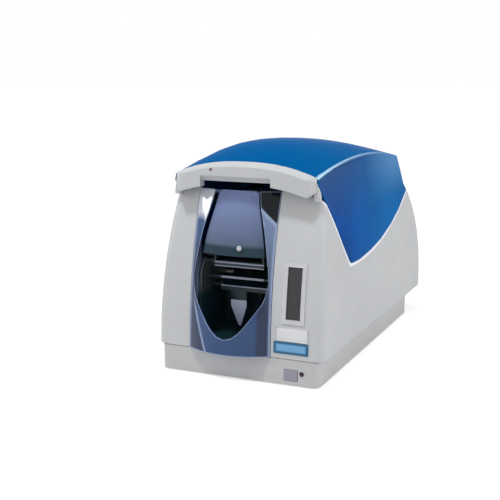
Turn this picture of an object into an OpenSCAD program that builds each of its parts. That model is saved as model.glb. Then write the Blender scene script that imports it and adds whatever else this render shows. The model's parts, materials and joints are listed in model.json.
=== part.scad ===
// Desktop card printer: moulded housing, translucent cover, card path, ribbon drive and electronics.
// Millimetres, +Z up, X to the right seen from the front, Y towards the back.
// The origin is at the bottom centre of the box. Inside the modules, y is counted from the front face.

/* [Body] */
// width of the shell at its lower edge
body_w = 200; // [184:1:220]
// depth of the shell
body_d = 420; // [400:1:440]
// height of the seam between base and shell
seam_z = 30; // [28:1:34]
// radius of the front face seen from the side
front_r = 520; // [460:10:700]
// radius of the side faces seen from the front
side_r = 1250; // [1100:10:1600]
// radius of the rear shoulder seen from the side
rear_r = 150; // [145:1:170]
// height where the rear shoulder starts
rear_z = 60; // [50:1:64]
// height where the shoulder meets the cover
shoulder_z = 184; // [180:1:188]
// run per unit of rise of the cover's back
tail_slope = 0.47; // [0.4:0.01:0.6]
// radius of the upright corners in plan
corner_r = 10; // [8:0.5:14]
// wall of the shell and the base
wall = 2.6; // [2.2:0.1:3]

/* [Cover] */
// half width at which the cover's ridges are taken
ridge_x = 84; // [80:1:88]
// height of the ridges at their top
ridge_z = 236; // [230:0.5:242]
// distance of the ridges' top from the front
ridge_y = 174; // [165:1:190]
// radius of the ridges seen from the side
ridge_r = 980; // [850:10:1200]
// height of the crown line between the ridges
crown_z = 257; // [252:0.5:260]
// distance of the crown's top from the front
crown_y = 113; // [105:1:125]
// radius of the crown line ahead of its top
crown_front_r = 240; // [220:5:300]
// radius of the crown line behind its top
crown_rear_r = 880; // [800:10:1000]
// how squarely the crown falls to the ridges
crown_n = 2.4; // [2:0.1:3]
// wall of the cover
cover_t = 2.4; // [2:0.1:3]
// gap between the cover and the shell
cover_gap = 0.6; // [0.4:0.1:0.8]
// start of the cover behind the front
cover_y0 = 21; // [20:0.1:22]
// hinge axis ahead of the back
hinge_back = 55.8; // [54:0.2:58]
// height of the hinge axis
hinge_z = 178.4; // [177:0.2:180]
// radius of the hinge barrels
barrel_r = 4.2; // [4:0.1:4.6]
// radius of the hinge pins
pin_r = 1.5; // [1.3:0.1:2]
// inner end of each hinge
barrel_x = 36; // [30:1:44]
// length of one hinge barrel
barrel_l = 10; // [8:0.5:12]

/* [Hood] */
// front face of the hood behind the front
hood_y = 10; // [8:0.5:13]
// underside of the hood's ends, carried on to the middle
hood_z = 214.6; // [213.6:0.2:216]
// top of the hood's front face at the middle
hood_top_z = 234; // [231:0.5:235]
// half width of the hood
hood_x = 83; // [81:0.5:84]
// half width of the hood's flat front
hood_flat = 74; // [70:0.5:76]
// finger scoop, left end
scoop_x0 = -49; // [-52:1:-44]
// finger scoop, right end
scoop_x1 = 34; // [30:1:38]
// back of the finger scoop
scoop_y = 16.5; // [15:0.5:18]
// underside of the hood in the scoop
scoop_z = 217; // [216:0.5:219]
// top of the scoop's sloping roof
scoop_top = 223; // [221:0.5:226]

/* [Base] */
// base inside the shell's sides
base_in = 5; // [4:0.5:8]
// depth of the base
base_d = 362; // [350:1:380]
// underside of the base above the ground
base_z0 = 1.5; // [1:0.5:3]
// floor of the base
floor_t = 3; // [2.4:0.2:4]
// corner radius of the base
base_r = 8; // [6:0.5:9]
// step that draws the seam
seam_step = 0.8; // [0.6:0.1:1]
// radius of a rubber foot
foot_r = 7; // [6:0.5:9]
// depth of a foot's seat
foot_seat = 1; // [0.8:0.1:1.4]
// feet inside the base's sides
foot_in = 19; // [15:0.5:24]
// front feet behind the front
foot_y0 = 22; // [18:1:30]
// rear feet ahead of the base's back
foot_back = 24; // [17:1:40]

/* [Front opening] */
// middle of the opening
slot_x = -9.75; // [-12:0.25:-6]
// width of the opening
slot_w = 98; // [96:0.5:100]
// top of the bezel
bezel_top = 207; // [205:0.5:210]
// how far the bezel bows out at its foot
bow_low = 17; // [14:0.5:20]
// how far it bows out at its top
bow_high = 11; // [9:0.5:13]
// wall of the bezel
bezel_t = 2.4; // [2:0.1:3]
// gap between bezel and shell
bezel_gap = 0.3; // [0.2:0.05:0.4]
// setback of the smoked cover behind the bezel
flap_back = 6; // [5:0.5:8]
// wall of the smoked cover
flap_t = 2.2; // [1.8:0.1:2.6]
// lower edge of the smoked cover
flap_z0 = 137; // [135:0.5:140]
// screw knob on the smoked cover
catch_x = 0.75; // [-4:0.25:4]
// height of the screw knob
catch_z = 146.5; // [144:0.5:150]
// stem of the screw knob
catch_r = 1.6; // [1.4:0.1:2]
// height of the smoked cover's pivot
flap_z = 203.5; // [202:0.5:205]
// pivot behind the front
flap_y = 34; // [33:0.5:36]

/* [Display and controls] */
// middle of the display inside the shell's side
view_in = 35.4; // [33:0.2:38]
// width of the display frame
view_w = 25.6; // [24:0.2:28]
// foot of the display frame
view_z0 = 69; // [66:0.5:72]
// height of the display frame
view_h = 65.5; // [62:0.5:68]
// margin of the display frame
view_m = 4.6; // [4:0.2:5.4]
// middle of the button inside the base's side
button_in = 31.8; // [29:0.1:34]
// height of the button's middle
button_z = 12.5; // [11:0.5:14]
// width of the button
button_w = 15.4; // [14:0.2:17]
// height of the button
button_h = 12; // [10:0.5:13]
// button travel
button_travel = 1.2; // [0.8:0.1:1.5]
// middle of the indicator inside the base's side
lamp_in = 19.3; // [17:0.1:21]
// height of the indicator
lamp_z = 15.2; // [13:0.1:17]
// radius of the indicator
lamp_r = 2.5; // [2:0.1:3]

/* [Card path] */
// card width
card_w = 54; // [54:0.1:54]
// card length
card_l = 85.6; // [85.6:0.1:85.6]
// underside of a card on the path
path_z = 128; // [127:0.5:129]
// room for one card
card_room = 0.8; // [0.78:0.01:0.9]
// side frames inside the edges of the opening
frame_gap = 5.5; // [5:0.1:7]
// sheet of the side frames
frame_t = 1.6; // [1.4:0.1:2]
// width of the angles that hold the side frames
angle_w = 8.6; // [7:0.2:8.8]
// radius of the drive rollers
roller_r = 9; // [8.5:0.1:9.5]
// half length of the rollers
roller_l = 30; // [28:0.5:32]
// radius of the roller shafts
shaft_r = 3; // [2.5:0.1:3.2]
// radius of the pinch rollers
pinch_r = 5; // [4.5:0.1:5.5]
// radius of the pinch shafts
pinch_shaft_r = 2; // [1.8:0.1:2.2]
// running gap on the shafts
run_gap = 0.06; // [0.04:0.01:0.1]
// front feed roller behind the front
feed_y = 139; // [138:0.5:140]
// printing roller behind the front
platen_y = 195; // [194:0.5:196]
// rear feed roller behind the front
back_y = 251; // [250:0.5:252]
// cleaning roller behind the front
clean_y = 167; // [166:0.5:168]
// radius of the cleaning roller
clean_r = 8; // [7.5:0.1:8.5]
// pick roller behind the front
pick_y = 60; // [58:0.5:62]
// radius of the pick roller
pick_r = 8; // [7.5:0.1:8.5]
// exit roller behind the front
exit_y = 88; // [86:0.5:90]
// radius of the exit roller
exit_r = 6; // [5.5:0.1:6.5]
// radius of the exit pinch roller
exit_pinch_r = 4.3; // [4:0.1:4.6]
// rear end of the exit chute
chute_y1 = 128; // [127:0.5:129]
// height of the chute at its rear end
chute_z1 = 116.5; // [116:0.5:117]
// fall of the chute per unit of run
chute_fall = 0.25; // [0.22:0.01:0.28]
// front end of the exit chute
chute_y0 = 42; // [40:1:46]

/* [Hoppers] */
// floor of the input hopper
tray_t = 2.5; // [2:0.1:3]
// inner back wall of the input hopper
tray_y1 = 114; // [113.8:0.2:114.4]
// diverter pivot behind the front
gate_y = 118.6; // [118.4:0.2:119.4]
// height of the diverter pivot
gate_z = 122.4; // [122:0.2:122.8]
// inner half width of the input hopper
tray_x = 28.2; // [27.8:0.1:29]
// wall of the hoppers
tray_w = 2; // [1.8:0.1:2.4]
// top of the input hopper
tray_top = 198; // [194:0.5:200]
// travel of the card weight
weight_travel = 50; // [40:1:54]
// back wall of the output hopper
bin_y1 = 80; // [76:0.5:82]
// top of the output hopper
bin_top = 88; // [84:0.5:92]

/* [Ribbon] */
// take-up spool behind the front
take_y = 150; // [149:0.5:152]
// height of the take-up spool
take_z = 180; // [178:0.5:184]
// supply spool behind the front
supply_y = 250; // [248:0.5:252]
// height of the supply spool
supply_z = 183; // [181:0.5:186]
// radius of the spool flanges
flange_r = 23; // [21:0.5:24]
// ribbon wound on the take-up spool
take_roll_r = 13; // [11:0.5:16]
// ribbon wound on the supply spool
supply_roll_r = 19; // [16:0.5:20.5]
// radius of the spool cores
core_r = 9; // [8:0.5:10]
// half width of the ribbon
ribbon_x = 29; // [28:0.5:30]
// ribbon thickness drawn
ribbon_t = 0.3; // [0.2:0.05:0.4]
// print head arm, pivot behind the front
arm_y = 296; // [294:0.5:298]
// print head arm, pivot height
arm_z = 146; // [144:0.5:148]
// gap under the print head
head_gap = 1.5; // [1.3:0.1:1.8]

/* [Drive] */
// radius of the shaft pulleys
pulley_r = 8; // [7.5:0.1:8.5]
// width of the belts
belt_w = 6; // [5:0.5:7]
// thickness of the belts
belt_t = 1.4; // [1.2:0.1:1.6]
// gap under the belts
belt_gap = 0.2; // [0.15:0.05:0.3]
// main motor behind the front
motor_y = 223; // [222:0.5:224]
// height of the main motor
motor_z = 91.5; // [90:0.5:92]
// radius of the motor pulley
motor_pulley_r = 6; // [5.5:0.1:6.5]
// side of the motor body
motor_w = 35; // [34:0.5:36]
// length of the motor body
motor_l = 26; // [22:0.5:28]

/* [Electronics] */
// board thickness
board_t = 1.6; // [1.4:0.1:1.8]
// main board above the ground
board_z = 14; // [12:0.5:16]
// fan side
fan_w = 50; // [46:1:52]
// fan depth
fan_t = 14; // [12:0.5:15]
// front of the fan ahead of the back
fan_back = 22; // [20:0.5:26]
// height of the rear sockets' board
port_z = 8; // [7.5:0.5:9]

/* [Hidden] */
$fn = 48;
loft_z = [30, 60, 85, 110, 130, 150, 168, shoulder_z, 200, 215, 230, 246, 262];
ring_n = 24;
// how far a cut runs past what it cuts, and half the width of such a cut
past = 20;
half = body_w / 2 + past;
hinge_y = body_d - hinge_back;
base_x = body_w / 2 - base_in;
// the front wall's top, carried up between the cover's sides
brow_x = 76;
brow_z = 213;
foot_x = base_x - foot_in;
foot_y1 = base_d - foot_back;
view_x = body_w / 2 - view_in;
button_x = base_x - button_in;
lamp_x = base_x - lamp_in;
frame_x = slot_w / 2 - frame_gap;
fan_y = body_d - fan_back;
// front edge of the cover's side panels, y and z, down to their foot
sail_front = [[9.5, 229.8], [15.3, 221.9], [32.2, 199.7], [54, 174.4], [75.5, 146.9], [94.5, 124.5],
    [100, 120.4], [107.5, 118.8]];
// their lower edge from the foot to the hinge, share of the way and z
sail_rear = [[0.1122, 118.2], [0.2736, 121.4], [0.4481, 127.7], [0.6404, 139.6], [0.8073, 154.2],
    [0.9516, 171], [1.0309, 180]];
sail_foot = sail_front[len(sail_front) - 1][0];
sail_edge = concat(sail_front, [for (p = sail_rear) [sail_foot + p[0] * (hinge_y - sail_foot), p[1]]],
    [[body_d + past, 182], [body_d + past, 280], [-past, 280], [-past, 229.8]]);
// half width of the bezel's opening at each height; it is open at the top
vase = [[9, 50], [17, 56.5], [24.5, 66], [33, 78], [39.5, 88], [42.5, 96], [44.8, 110], [43.5, 125],
    [40.5, 143], [37.5, 160], [33.5, 177], [31, 186], [29, 195], [27.5, bezel_top - 3], [27.2, bezel_top + 5]];
// half width of the smoked cover at each height
flap_edge = [[37.3, flap_z0], [36.4, 143], [33.2, 160], [29.4, 177], [27, 186], [25.2, 195],
    [23.8, flap_z + 0.5], [20, flap_z + 3]];
floor_z = base_z0 + floor_t;
drive_z = path_z - roller_r;
tray_z = path_z - 1.5 - tray_t;
exit_top = chute_z1 - chute_fall * (chute_y1 - exit_y);
frame_x0 = slot_x - frame_x;
power_x0 = base_x - 46;
frame_x1 = slot_x + frame_x;
head_z = path_z + head_gap;
// ends of the side frames
frame_y0 = 20;
frame_y1 = arm_y + 22;

// ---- helpers
function drop(r, d) = r - sqrt(r * r - d * d);
function lerp(a, b, t) = a + (b - a) * t;
function front_y(z) = drop(front_r, max(z - seam_z, 0));
function side_x(z) = body_w / 2 - drop(side_r, max(z - seam_z, 0));
function rise(z) = min(max(z - rear_z, 0), shoulder_z - rear_z) / (shoulder_z - rear_z);
function rear_y(z) = body_d - drop(rear_r, rise(z) * (shoulder_z - rear_z)) - tail_slope * max(z - shoulder_z, 0);
function rear_t(z, t) = t * (z > shoulder_z ? 1.1 : 1 + 0.8 * rise(z));
function ring(z, t, open) = let (x = side_x(z) - t, f = (open ? min(front_y(z), 8) : front_y(z)) + t, b = rear_y(z) - rear_t(z, t), r = corner_r - t)
    [for (k = [0 : 3], i = [0 : 5]) let (a = 90 * k + 18 * i)
        [(k == 0 || k == 3 ? x - r : r - x) + r * cos(a), (k < 2 ? b - r : f + r) + r * sin(a), z]];
function ridge(y) = ridge_z - drop(ridge_r, abs(y - ridge_y));
function crown(y) = crown_z - drop(y < crown_y ? crown_front_r : crown_rear_r, abs(y - crown_y));
function fall(x) = pow(abs(x) / ridge_x, crown_n);
function dome_z(x, y, t) = lerp(crown(y), ridge(y), fall(x)) - t;
function bow(x, z) = lerp(bow_low, bow_high, (z - seam_z) / (bezel_top - seam_z))
    * (sqrt(79 * 79 - pow(min(abs(x - slot_x), slot_w / 2), 2)) - sqrt(79 * 79 - slot_w * slot_w / 4))
    / (79 - sqrt(79 * 79 - slot_w * slot_w / 4));
function panel_y(x, z) = front_y(z) - bow(x, z);
function cz(y) = chute_z1 - chute_fall * (chute_y1 - y);
function mirrored(p) = concat([for (q = p) [slot_x + q[0], q[1]]],
    [for (i = [len(p) - 1 : -1 : 0]) [slot_x - p[i][0], p[i][1]]]);

module placed() translate([0, -(body_d - bow_low) / 2, 0]) children();
module yz(x0, x1) translate([x0, 0, 0]) rotate([90, 0, 90]) linear_extrude(x1 - x0) children();
module xz(y0, y1) translate([0, y1, 0]) rotate([90, 0, 0]) linear_extrude(y1 - y0) children();
module box(x0, x1, y0, y1, z0, z1) translate([x0, y0, z0]) cube([x1 - x0, y1 - y0, z1 - z0]);
module rod(x0, x1, y, z, r) translate([x0, y, z]) rotate([0, 90, 0]) cylinder(r = r, h = x1 - x0);
module yrod(x, y0, y1, z, r) translate([x, y1, z]) rotate([90, 0, 0]) cylinder(r = r, h = y1 - y0);
module post(x, y, z0, z1, r) translate([x, y, z0]) cylinder(r = r, h = z1 - z0);
module slab(x0, x1, y0, y1, z0, z1, r) {
    box(x0 + r, x1 - r, y0, y1, z0, z1);
    box(x0, x1, y0 + r, y1 - r, z0, z1);
    for (x = [x0 + r, x1 - r], y = [y0 + r, y1 - r]) post(x, y, z0, z1, r);
}

// closed loft of the shell, moved inwards by t; open keeps the front from leaning back
module skin(t, open = false) {
    n = len(loft_z);
    polyhedron(points = [for (z = loft_z) each ring(z, t, open)],
        faces = concat([[for (i = [0 : ring_n - 1]) i]],
            [[for (i = [ring_n - 1 : -1 : 0]) (n - 1) * ring_n + i]],
            [for (k = [0 : n - 2], i = [0 : ring_n - 1]) let (j = (i + 1) % ring_n)
                [k * ring_n + i, (k + 1) * ring_n + i, (k + 1) * ring_n + j, k * ring_n + j]]));
}

// block under the dome, moved inwards by t
module dome(t) {
    nx = 16; ny = 18; w = nx + 1; n = w * (ny + 1);
    x0 = -half; y0 = -past; dx = 2 * half / nx; dy = (body_d + 2 * past) / ny;
    polyhedron(points = concat([for (j = [0 : ny], i = [0 : nx]) [x0 + i * dx, y0 + j * dy, dome_z(x0 + i * dx, y0 + j * dy, t)]],
            [[x0, y0, 20], [-x0, y0, 20], [-x0, y0 + ny * dy, 20], [x0, y0 + ny * dy, 20]]),
        faces = concat(
            [for (j = [0 : ny - 1], i = [0 : nx - 1]) each
                [[j * w + i, (j + 1) * w + i, j * w + i + 1], [j * w + i + 1, (j + 1) * w + i, (j + 1) * w + i + 1]]],
            [concat([n], [for (i = [0 : nx]) i], [n + 1])],
            [concat([n + 2], [for (i = [nx : -1 : 0]) ny * w + i], [n + 3])],
            [concat([n + 3], [for (j = [ny : -1 : 0]) j * w], [n])],
            [concat([n + 1], [for (j = [0 : ny]) j * w + nx], [n + 2])],
            [[n, n + 1, n + 2, n + 3]]));
}

// bowed panel between two depths behind the bezel's face
module panel(x0, x1, z0, z1, d0, d1, nx, nz) {
    w = nx + 1; n = w * (nz + 1);
    function px(i) = lerp(x0, x1, i / nx);
    function pz(j) = lerp(z0, z1, j / nz);
    polyhedron(points = concat(
            [for (j = [0 : nz], i = [0 : nx]) [px(i), panel_y(px(i), pz(j)) + d0, pz(j)]],
            [for (j = [0 : nz], i = [0 : nx]) [px(i), panel_y(px(i), pz(j)) + d1, pz(j)]]),
        faces = concat(
            [for (j = [0 : nz - 1], i = [0 : nx - 1]) each
                [[j * w + i, (j + 1) * w + i, j * w + i + 1], [j * w + i + 1, (j + 1) * w + i, (j + 1) * w + i + 1]]],
            [for (j = [0 : nz - 1], i = [0 : nx - 1]) each
                [[n + j * w + i, n + j * w + i + 1, n + (j + 1) * w + i],
                    [n + j * w + i + 1, n + (j + 1) * w + i + 1, n + (j + 1) * w + i]]],
            [for (i = [0 : nx - 1]) each [[i, i + 1, n + i + 1, n + i],
                [nz * w + i + 1, nz * w + i, n + nz * w + i, n + nz * w + i + 1]]],
            [for (j = [0 : nz - 1]) each [[(j + 1) * w, j * w, n + j * w, n + (j + 1) * w],
                [j * w + nx, (j + 1) * w + nx, n + (j + 1) * w + nx, n + j * w + nx]]]));
}

// ---- housing and cover
module base_pan() color("#b9b8b6") placed() {
    inner = base_x - wall;
    difference() {
        union() {
            slab(-base_x, base_x, 0, base_d, base_z0, seam_z - seam_step, base_r);
            slab(-base_x + 1.2, base_x - 1.2, 1.2, base_d - 1.2, base_z0, seam_z, base_r - 1.2);
        }
        slab(-inner, inner, wall, base_d - wall, floor_z, seam_z + 1, base_r - wall);
        for (x = [-foot_x, foot_x], y = [foot_y0, foot_y1]) post(x, y, 0, base_z0 + foot_seat, foot_r + 0.1);
        box(button_x - button_w / 2 - 0.3, button_x + button_w / 2 + 0.3, -1, wall + 1,
            button_z - button_h / 2 - 0.3, button_z + button_h / 2 + 0.3);
        yrod(lamp_x, -1, wall + 1, lamp_z, lamp_r + 0.15);
        for (i = [0 : 5]) box(-45 + 16 * i, -42 + 16 * i, 110, 190, 0, floor_z + 1);
        box(-46.3, -33.7, base_d - wall - 1, base_d + 1, port_z + board_t - 0.2, port_z + board_t + 12.3);
        box(-6.3, 3.3, base_d - wall - 1, base_d + 1, port_z + board_t - 0.2, port_z + board_t + 11.3);
        box(45.8, 61.2, base_d - wall - 1, base_d + 1, 7.3, 25.7);
    }
}

module board_spacers() color("#d9dadb") placed() {
    for (x = [-38, 18], y = [104, 196]) post(x, y, floor_z, board_z, 3);
    for (x = [power_x0 + 3, power_x0 + 31], y = [150, 250]) post(x, y, floor_z, board_z, 3);
    for (x = [-48, 14], y = [base_d - 34, base_d - 12]) post(x, y, floor_z, port_z, 2.5);
    for (x = [button_x - 11.2, button_x + 16.8]) box(x - 1.5, x + 1.5, 8 + board_t, 18, floor_z, 20);
}

module feet() color("#2b2b2c") placed()
    for (x = [-foot_x, foot_x], y = [foot_y0, foot_y1]) {
        post(x, y, 0.6, base_z0 + foot_seat, foot_r);
        translate([x, y, 0]) cylinder(r1 = foot_r - 0.6, r2 = foot_r, h = 0.6);
    }

module knuckle(x0) rod(x0, x0 + barrel_l, hinge_y, hinge_z, barrel_r);

module housing() color("#c4c3c1") placed() {
    sx0 = slot_x - slot_w / 2; sx1 = slot_x + slot_w / 2;
    difference() {
        skin(0);
        difference() {
            skin(wall);
            box(-half, half, base_d - wall, body_d + past, 0, seam_z + wall);
            for (s = [-1, 1])
                box(min(s * (base_x - wall), s * half), max(s * (base_x - wall), s * half), -past, body_d + past,
                    0, seam_z + wall);
        }
        difference() {
            yz(-half, half) polygon(sail_edge);
            box(-brow_x, brow_x, -past, front_y(brow_z) + wall, shoulder_z, brow_z);
        }
        box(sx0, sx1, -5, 60, 20, 300);
        box(view_x - view_w / 2 + view_m - 0.2, view_x + view_w / 2 - view_m + 0.2, -5, 40,
            view_z0 + view_m - 0.2, view_z0 + view_h - view_m + 0.2);
        for (i = [0 : 6]) box(-fan_w / 2 + 4, fan_w / 2 - 4, body_d - 20, body_d + 5, 40 + 6 * i, 43 + 6 * i);
        for (s = [-1, 1]) translate([s * (barrel_x + 1.5 * barrel_l + 0.4) - barrel_l / 2 - 0.4, 0, 0])
            rod(0, barrel_l + 0.8, hinge_y, hinge_z, barrel_r + 0.5);
        box(-half, half, -past, body_d + past, 20, seam_z);
    }
    for (x = [view_x - 15, view_x + 15], z = [view_z0 + 2, view_z0 + view_h - 2])
        yrod(x, front_y(z) + 1.2, 26, z, 2.2);
    for (s = [-1, 1], k = [0, 2]) {
        x0 = s > 0 ? barrel_x + k * (barrel_l + 0.4) : -barrel_x - k * (barrel_l + 0.4) - barrel_l;
        difference() {
            union() {
                knuckle(x0);
                yz(x0, x0 + barrel_l) polygon([[hinge_y - 2, hinge_z - 2], [hinge_y - 5, hinge_z - 9],
                    [hinge_y + 2, hinge_z - 9], [hinge_y + 4, hinge_z - 2]]);
            }
            rod(x0 - 1, x0 + barrel_l + 1, hinge_y, hinge_z, pin_r);
        }
    }
}

module lid() color([0.05, 0.35, 0.75, 0.75]) placed() {
    difference() {
        union() {
            difference() {
                intersection() {
                    skin(0, true);
                    dome(0);
                    yz(-half, half) translate([cover_gap * 0.8, cover_gap]) polygon(sail_edge);
                    box(-half, half, cover_y0, body_d + past, 100, 300);
                }
                intersection() { skin(cover_t, true); dome(cover_t); }
            }
            for (s = [-1, 1])
                knuckle(s > 0 ? barrel_x + barrel_l + 0.4 : -barrel_x - 2 * barrel_l - 0.4);
        }
        for (s = [-1, 1]) {
            rod(s > 0 ? barrel_x : -barrel_x - 3 * barrel_l - 0.8, s > 0 ? barrel_x + 3 * barrel_l + 0.8 : -barrel_x,
                hinge_y, hinge_z, pin_r + run_gap);
            for (k = [0, 2])
                rod((s > 0 ? barrel_x + k * (barrel_l + 0.4) : -barrel_x - k * (barrel_l + 0.4) - barrel_l) - 0.4,
                    (s > 0 ? barrel_x + k * (barrel_l + 0.4) : -barrel_x - k * (barrel_l + 0.4) - barrel_l) + barrel_l + 0.4,
                    hinge_y, hinge_z, barrel_r + 0.5);
        }
    }
}

module hinge_pins() color("#8c9094") placed() for (s = [-1, 1])
    rod(s > 0 ? barrel_x + 0.5 : -barrel_x - 3 * barrel_l - 0.3, s > 0 ? barrel_x + 3 * barrel_l + 0.3 : -barrel_x - 0.5,
        hinge_y, hinge_z, pin_r);

// section of the hood at x: front face, top slope and underside; the ends turn back and up
function hood_pts(x) = let (a = (crown(cover_y0) - ridge(cover_y0)) * fall(x),
    turn = max(abs(x) - hood_flat, 0) / (hood_x - hood_flat), e = (cover_y0 - hood_y - 1.5) * pow(turn, 1.2),
    u = 9 * turn, top = dome_z(x, cover_y0, 0) + 0.5)
    [[hood_y + e, hood_z - a + u + 0.8], [hood_y + e, hood_top_z - a], [hood_y + 2 + e * 0.8, hood_top_z + 2 - a],
        [cover_y0 - 0.2, top], [cover_y0 - 0.2, hood_z - a + u], [hood_y + 1.2 + e * 0.9, hood_z - a + u]];
module lid_hood() color("#c4c3c1") placed() {
    edge = [for (i = [5 : -1 : 0]) -lerp(hood_flat, hood_x, i / 5)];
    xs = concat(edge, [for (i = [-5 : 5]) i * 12], [for (i = [5 : -1 : 0]) -edge[i]]);
    n = len(xs);
    difference() {
        polyhedron(points = [for (x = xs) each [for (p = hood_pts(x)) [x, p[0], p[1]]]],
            faces = concat([[for (i = [5 : -1 : 0]) i]], [[for (i = [0 : 5]) (n - 1) * 6 + i]],
                [for (k = [0 : n - 2], i = [0 : 5]) let (j = (i + 1) % 6) each
                    [[k * 6 + i, k * 6 + j, (k + 1) * 6 + i], [k * 6 + j, (k + 1) * 6 + j, (k + 1) * 6 + i]]]));
        yz(scoop_x0, scoop_x1) polygon([[0, 190], [cover_y0, 190], [cover_y0, scoop_z], [scoop_y, scoop_z],
            [scoop_y, scoop_z + 1], [hood_y, scoop_top], [0, scoop_top]]);
    }
    difference() {
        intersection() {
            dome(cover_t + 0.1);
            box(-70, 70, cover_y0 - 2, cover_y0 + 16, 200, 260);
        }
        translate([0, 0, -3]) dome(cover_t + 0.1);
    }
}

// ---- front opening
module front_bezel() color([0.1, 0.35, 0.75, 0.75]) placed() {
    x0 = slot_x - slot_w / 2 + bezel_gap; x1 = slot_x + slot_w / 2 - bezel_gap;
    difference() {
        panel(x0, x1, seam_z, bezel_top, 0, bezel_t, 16, 10);
        xz(-40, 60) polygon(concat([[slot_x, 47.5]], mirrored(vase)));
    }
    for (s = [0, 1]) intersection() {
        skin(1.2);
        box(s > 0 ? x1 - 2.2 : x0, s > 0 ? x1 : x0 + 2.2, -1, 28, seam_z, bezel_top);
    }
    translate([0, 0, seam_z]) linear_extrude(2.6) polygon(concat([[x0, 12.8], [x0, 0.6]],
        [for (i = [1 : 15]) let (x = lerp(x0, x1, i / 16)) [x, panel_y(x, seam_z + 1.3) + 0.6]], [[x1, 0.6], [x1, 12.8]]));
}

module output_hopper() color("#26292c") placed() {
    w = frame_x - 0.3; f = 34;
    difference() {
        box(slot_x - w, slot_x + w, 13, bin_y1 + tray_w, f, bin_top);
        box(slot_x - w + tray_w, slot_x + w - tray_w, 0, bin_y1, f + 12, bin_top + 1);
        yz(slot_x - w + tray_w, slot_x + w - tray_w) polygon([[0, f + tray_t], [14, f + tray_t], [bin_y1, f + 10],
            [bin_y1, f + 13], [0, f + 13]]);
    }
    for (s = [-1, 1]) box(slot_x + s * 32 - 1.2, slot_x + s * 32 + 1.2, 16, bin_y1, floor_z, f + 1);
    xz(bin_y1 - 9, bin_y1 + 0.5) polygon([[slot_x - 11, bin_top], [slot_x + 11, bin_top], [slot_x + 1.5, f + 20],
        [slot_x - 1.5, f + 20]]);
}

module input_hopper() color("#2c3034") placed() {
    x0 = slot_x - tray_x - tray_w; x1 = slot_x + tray_x + tray_w;
    difference() {
        union() {
            for (x = [x0, x1 - tray_w]) yz(x, x + tray_w) polygon([[26, tray_z], [26, tray_z + 14], [30, 170],
                [37, tray_top], [tray_y1 + tray_w, tray_top], [tray_y1 + tray_w, tray_z]]);
            box(x0, x1, 26, tray_y1 + tray_w, tray_z, tray_z + tray_t);
            box(x0, x1, tray_y1, tray_y1 + tray_w, tray_z, tray_top);
            box(x0, x1, 26, 28.4, tray_z - 4, tray_z + 1);
            for (s = [-1, 1]) {
                box(slot_x + min(s * tray_x, s * (frame_x - 0.05)), slot_x + max(s * tray_x, s * (frame_x - 0.05)), 98, 112, tray_z, tray_z + tray_t);
                box(slot_x + min(s * tray_x, s * (frame_x - 0.05)), slot_x + max(s * tray_x, s * (frame_x - 0.05)), 30, 42, tray_z, tray_z + tray_t);
                yz(slot_x + (s > 0 ? 33 : -36), slot_x + (s > 0 ? 36 : -33)) polygon([[30, flap_z - 2], [30, flap_z + 3.4], [37, flap_z + 3.4], [48, 196], [48, 182], [40, 190]]);
                box(slot_x + (s > 0 ? tray_x : -36), slot_x + (s > 0 ? 36 : -tray_x), 41, 48, 184, 194);
            }
        }
        box(slot_x - 21, slot_x + 21, pick_y - 12, pick_y + 12, tray_z - 1, tray_z + tray_t + 1);
        box(slot_x - tray_x, slot_x + tray_x, 110, 120, tray_z + tray_t, path_z + card_room + 0.9);
        box(slot_x - 4.2, slot_x + 4.2, 110, 120, path_z, tray_top - 6);
        rod(slot_x - 40, slot_x + 40, flap_y, flap_z, 2 + run_gap);
    }
}

module hopper_cover() color([0.25, 0.28, 0.32, 0.75]) placed() {
    difference() {
        panel(slot_x - 38, slot_x + 38, flap_z0 - 2, flap_z + 4, flap_back, flap_back + flap_t, 12, 8);
        difference() {
            box(slot_x - 60, slot_x + 60, -30, 80, 100, 230);
            xz(-31, 81) polygon(mirrored(flap_edge));
        }
        yrod(catch_x, -30, 60, catch_z, catch_r + 0.1);
    }
    for (x = [slot_x - 15, slot_x + 15]) let (y = panel_y(x, flap_z - 7.5) + flap_back + 0.6)
        yz(x - 2, x + 2) polygon([[y, flap_z - 7.5], [y, flap_z - 4.1], [flap_y - 1, flap_z + 2],
            [flap_y + 1.5, flap_z + 1], [flap_y + 1.5, flap_z - 1.4], [y + 2.6, flap_z - 9.5]]);
    rod(slot_x - 36.5, slot_x + 36.5, flap_y, flap_z, 2);
}

module cover_catch() color("#d8dadc") placed() {
    y = panel_y(catch_x, catch_z) + flap_back;
    yrod(catch_x, y - 3.4, y - 1, catch_z, 3);
    yrod(catch_x, y - 4.2, y - 3.2, catch_z, 2.2);
    yrod(catch_x, y - 1.2, y + flap_t + 2.6, catch_z, catch_r);
    yrod(catch_x, y + flap_t + 1, y + flap_t + 2.6, catch_z, 2.8);
}

module card_weight() color("#3a3d41") placed() {
    box(slot_x - tray_x + 0.6, slot_x + tray_x - 0.6, 44, 108, path_z + 0.4, path_z + 5.4);
    box(slot_x - tray_x + 0.6, slot_x + tray_x - 0.6, 44, 47, path_z + 0.4, path_z + 11);
    box(slot_x - 3.9, slot_x + 3.9, 107, 121, path_z + 0.6, path_z + 5.4);
    box(slot_x - 8, slot_x + 8, 118, 121, path_z + 3.6, path_z + 10);
}

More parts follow.
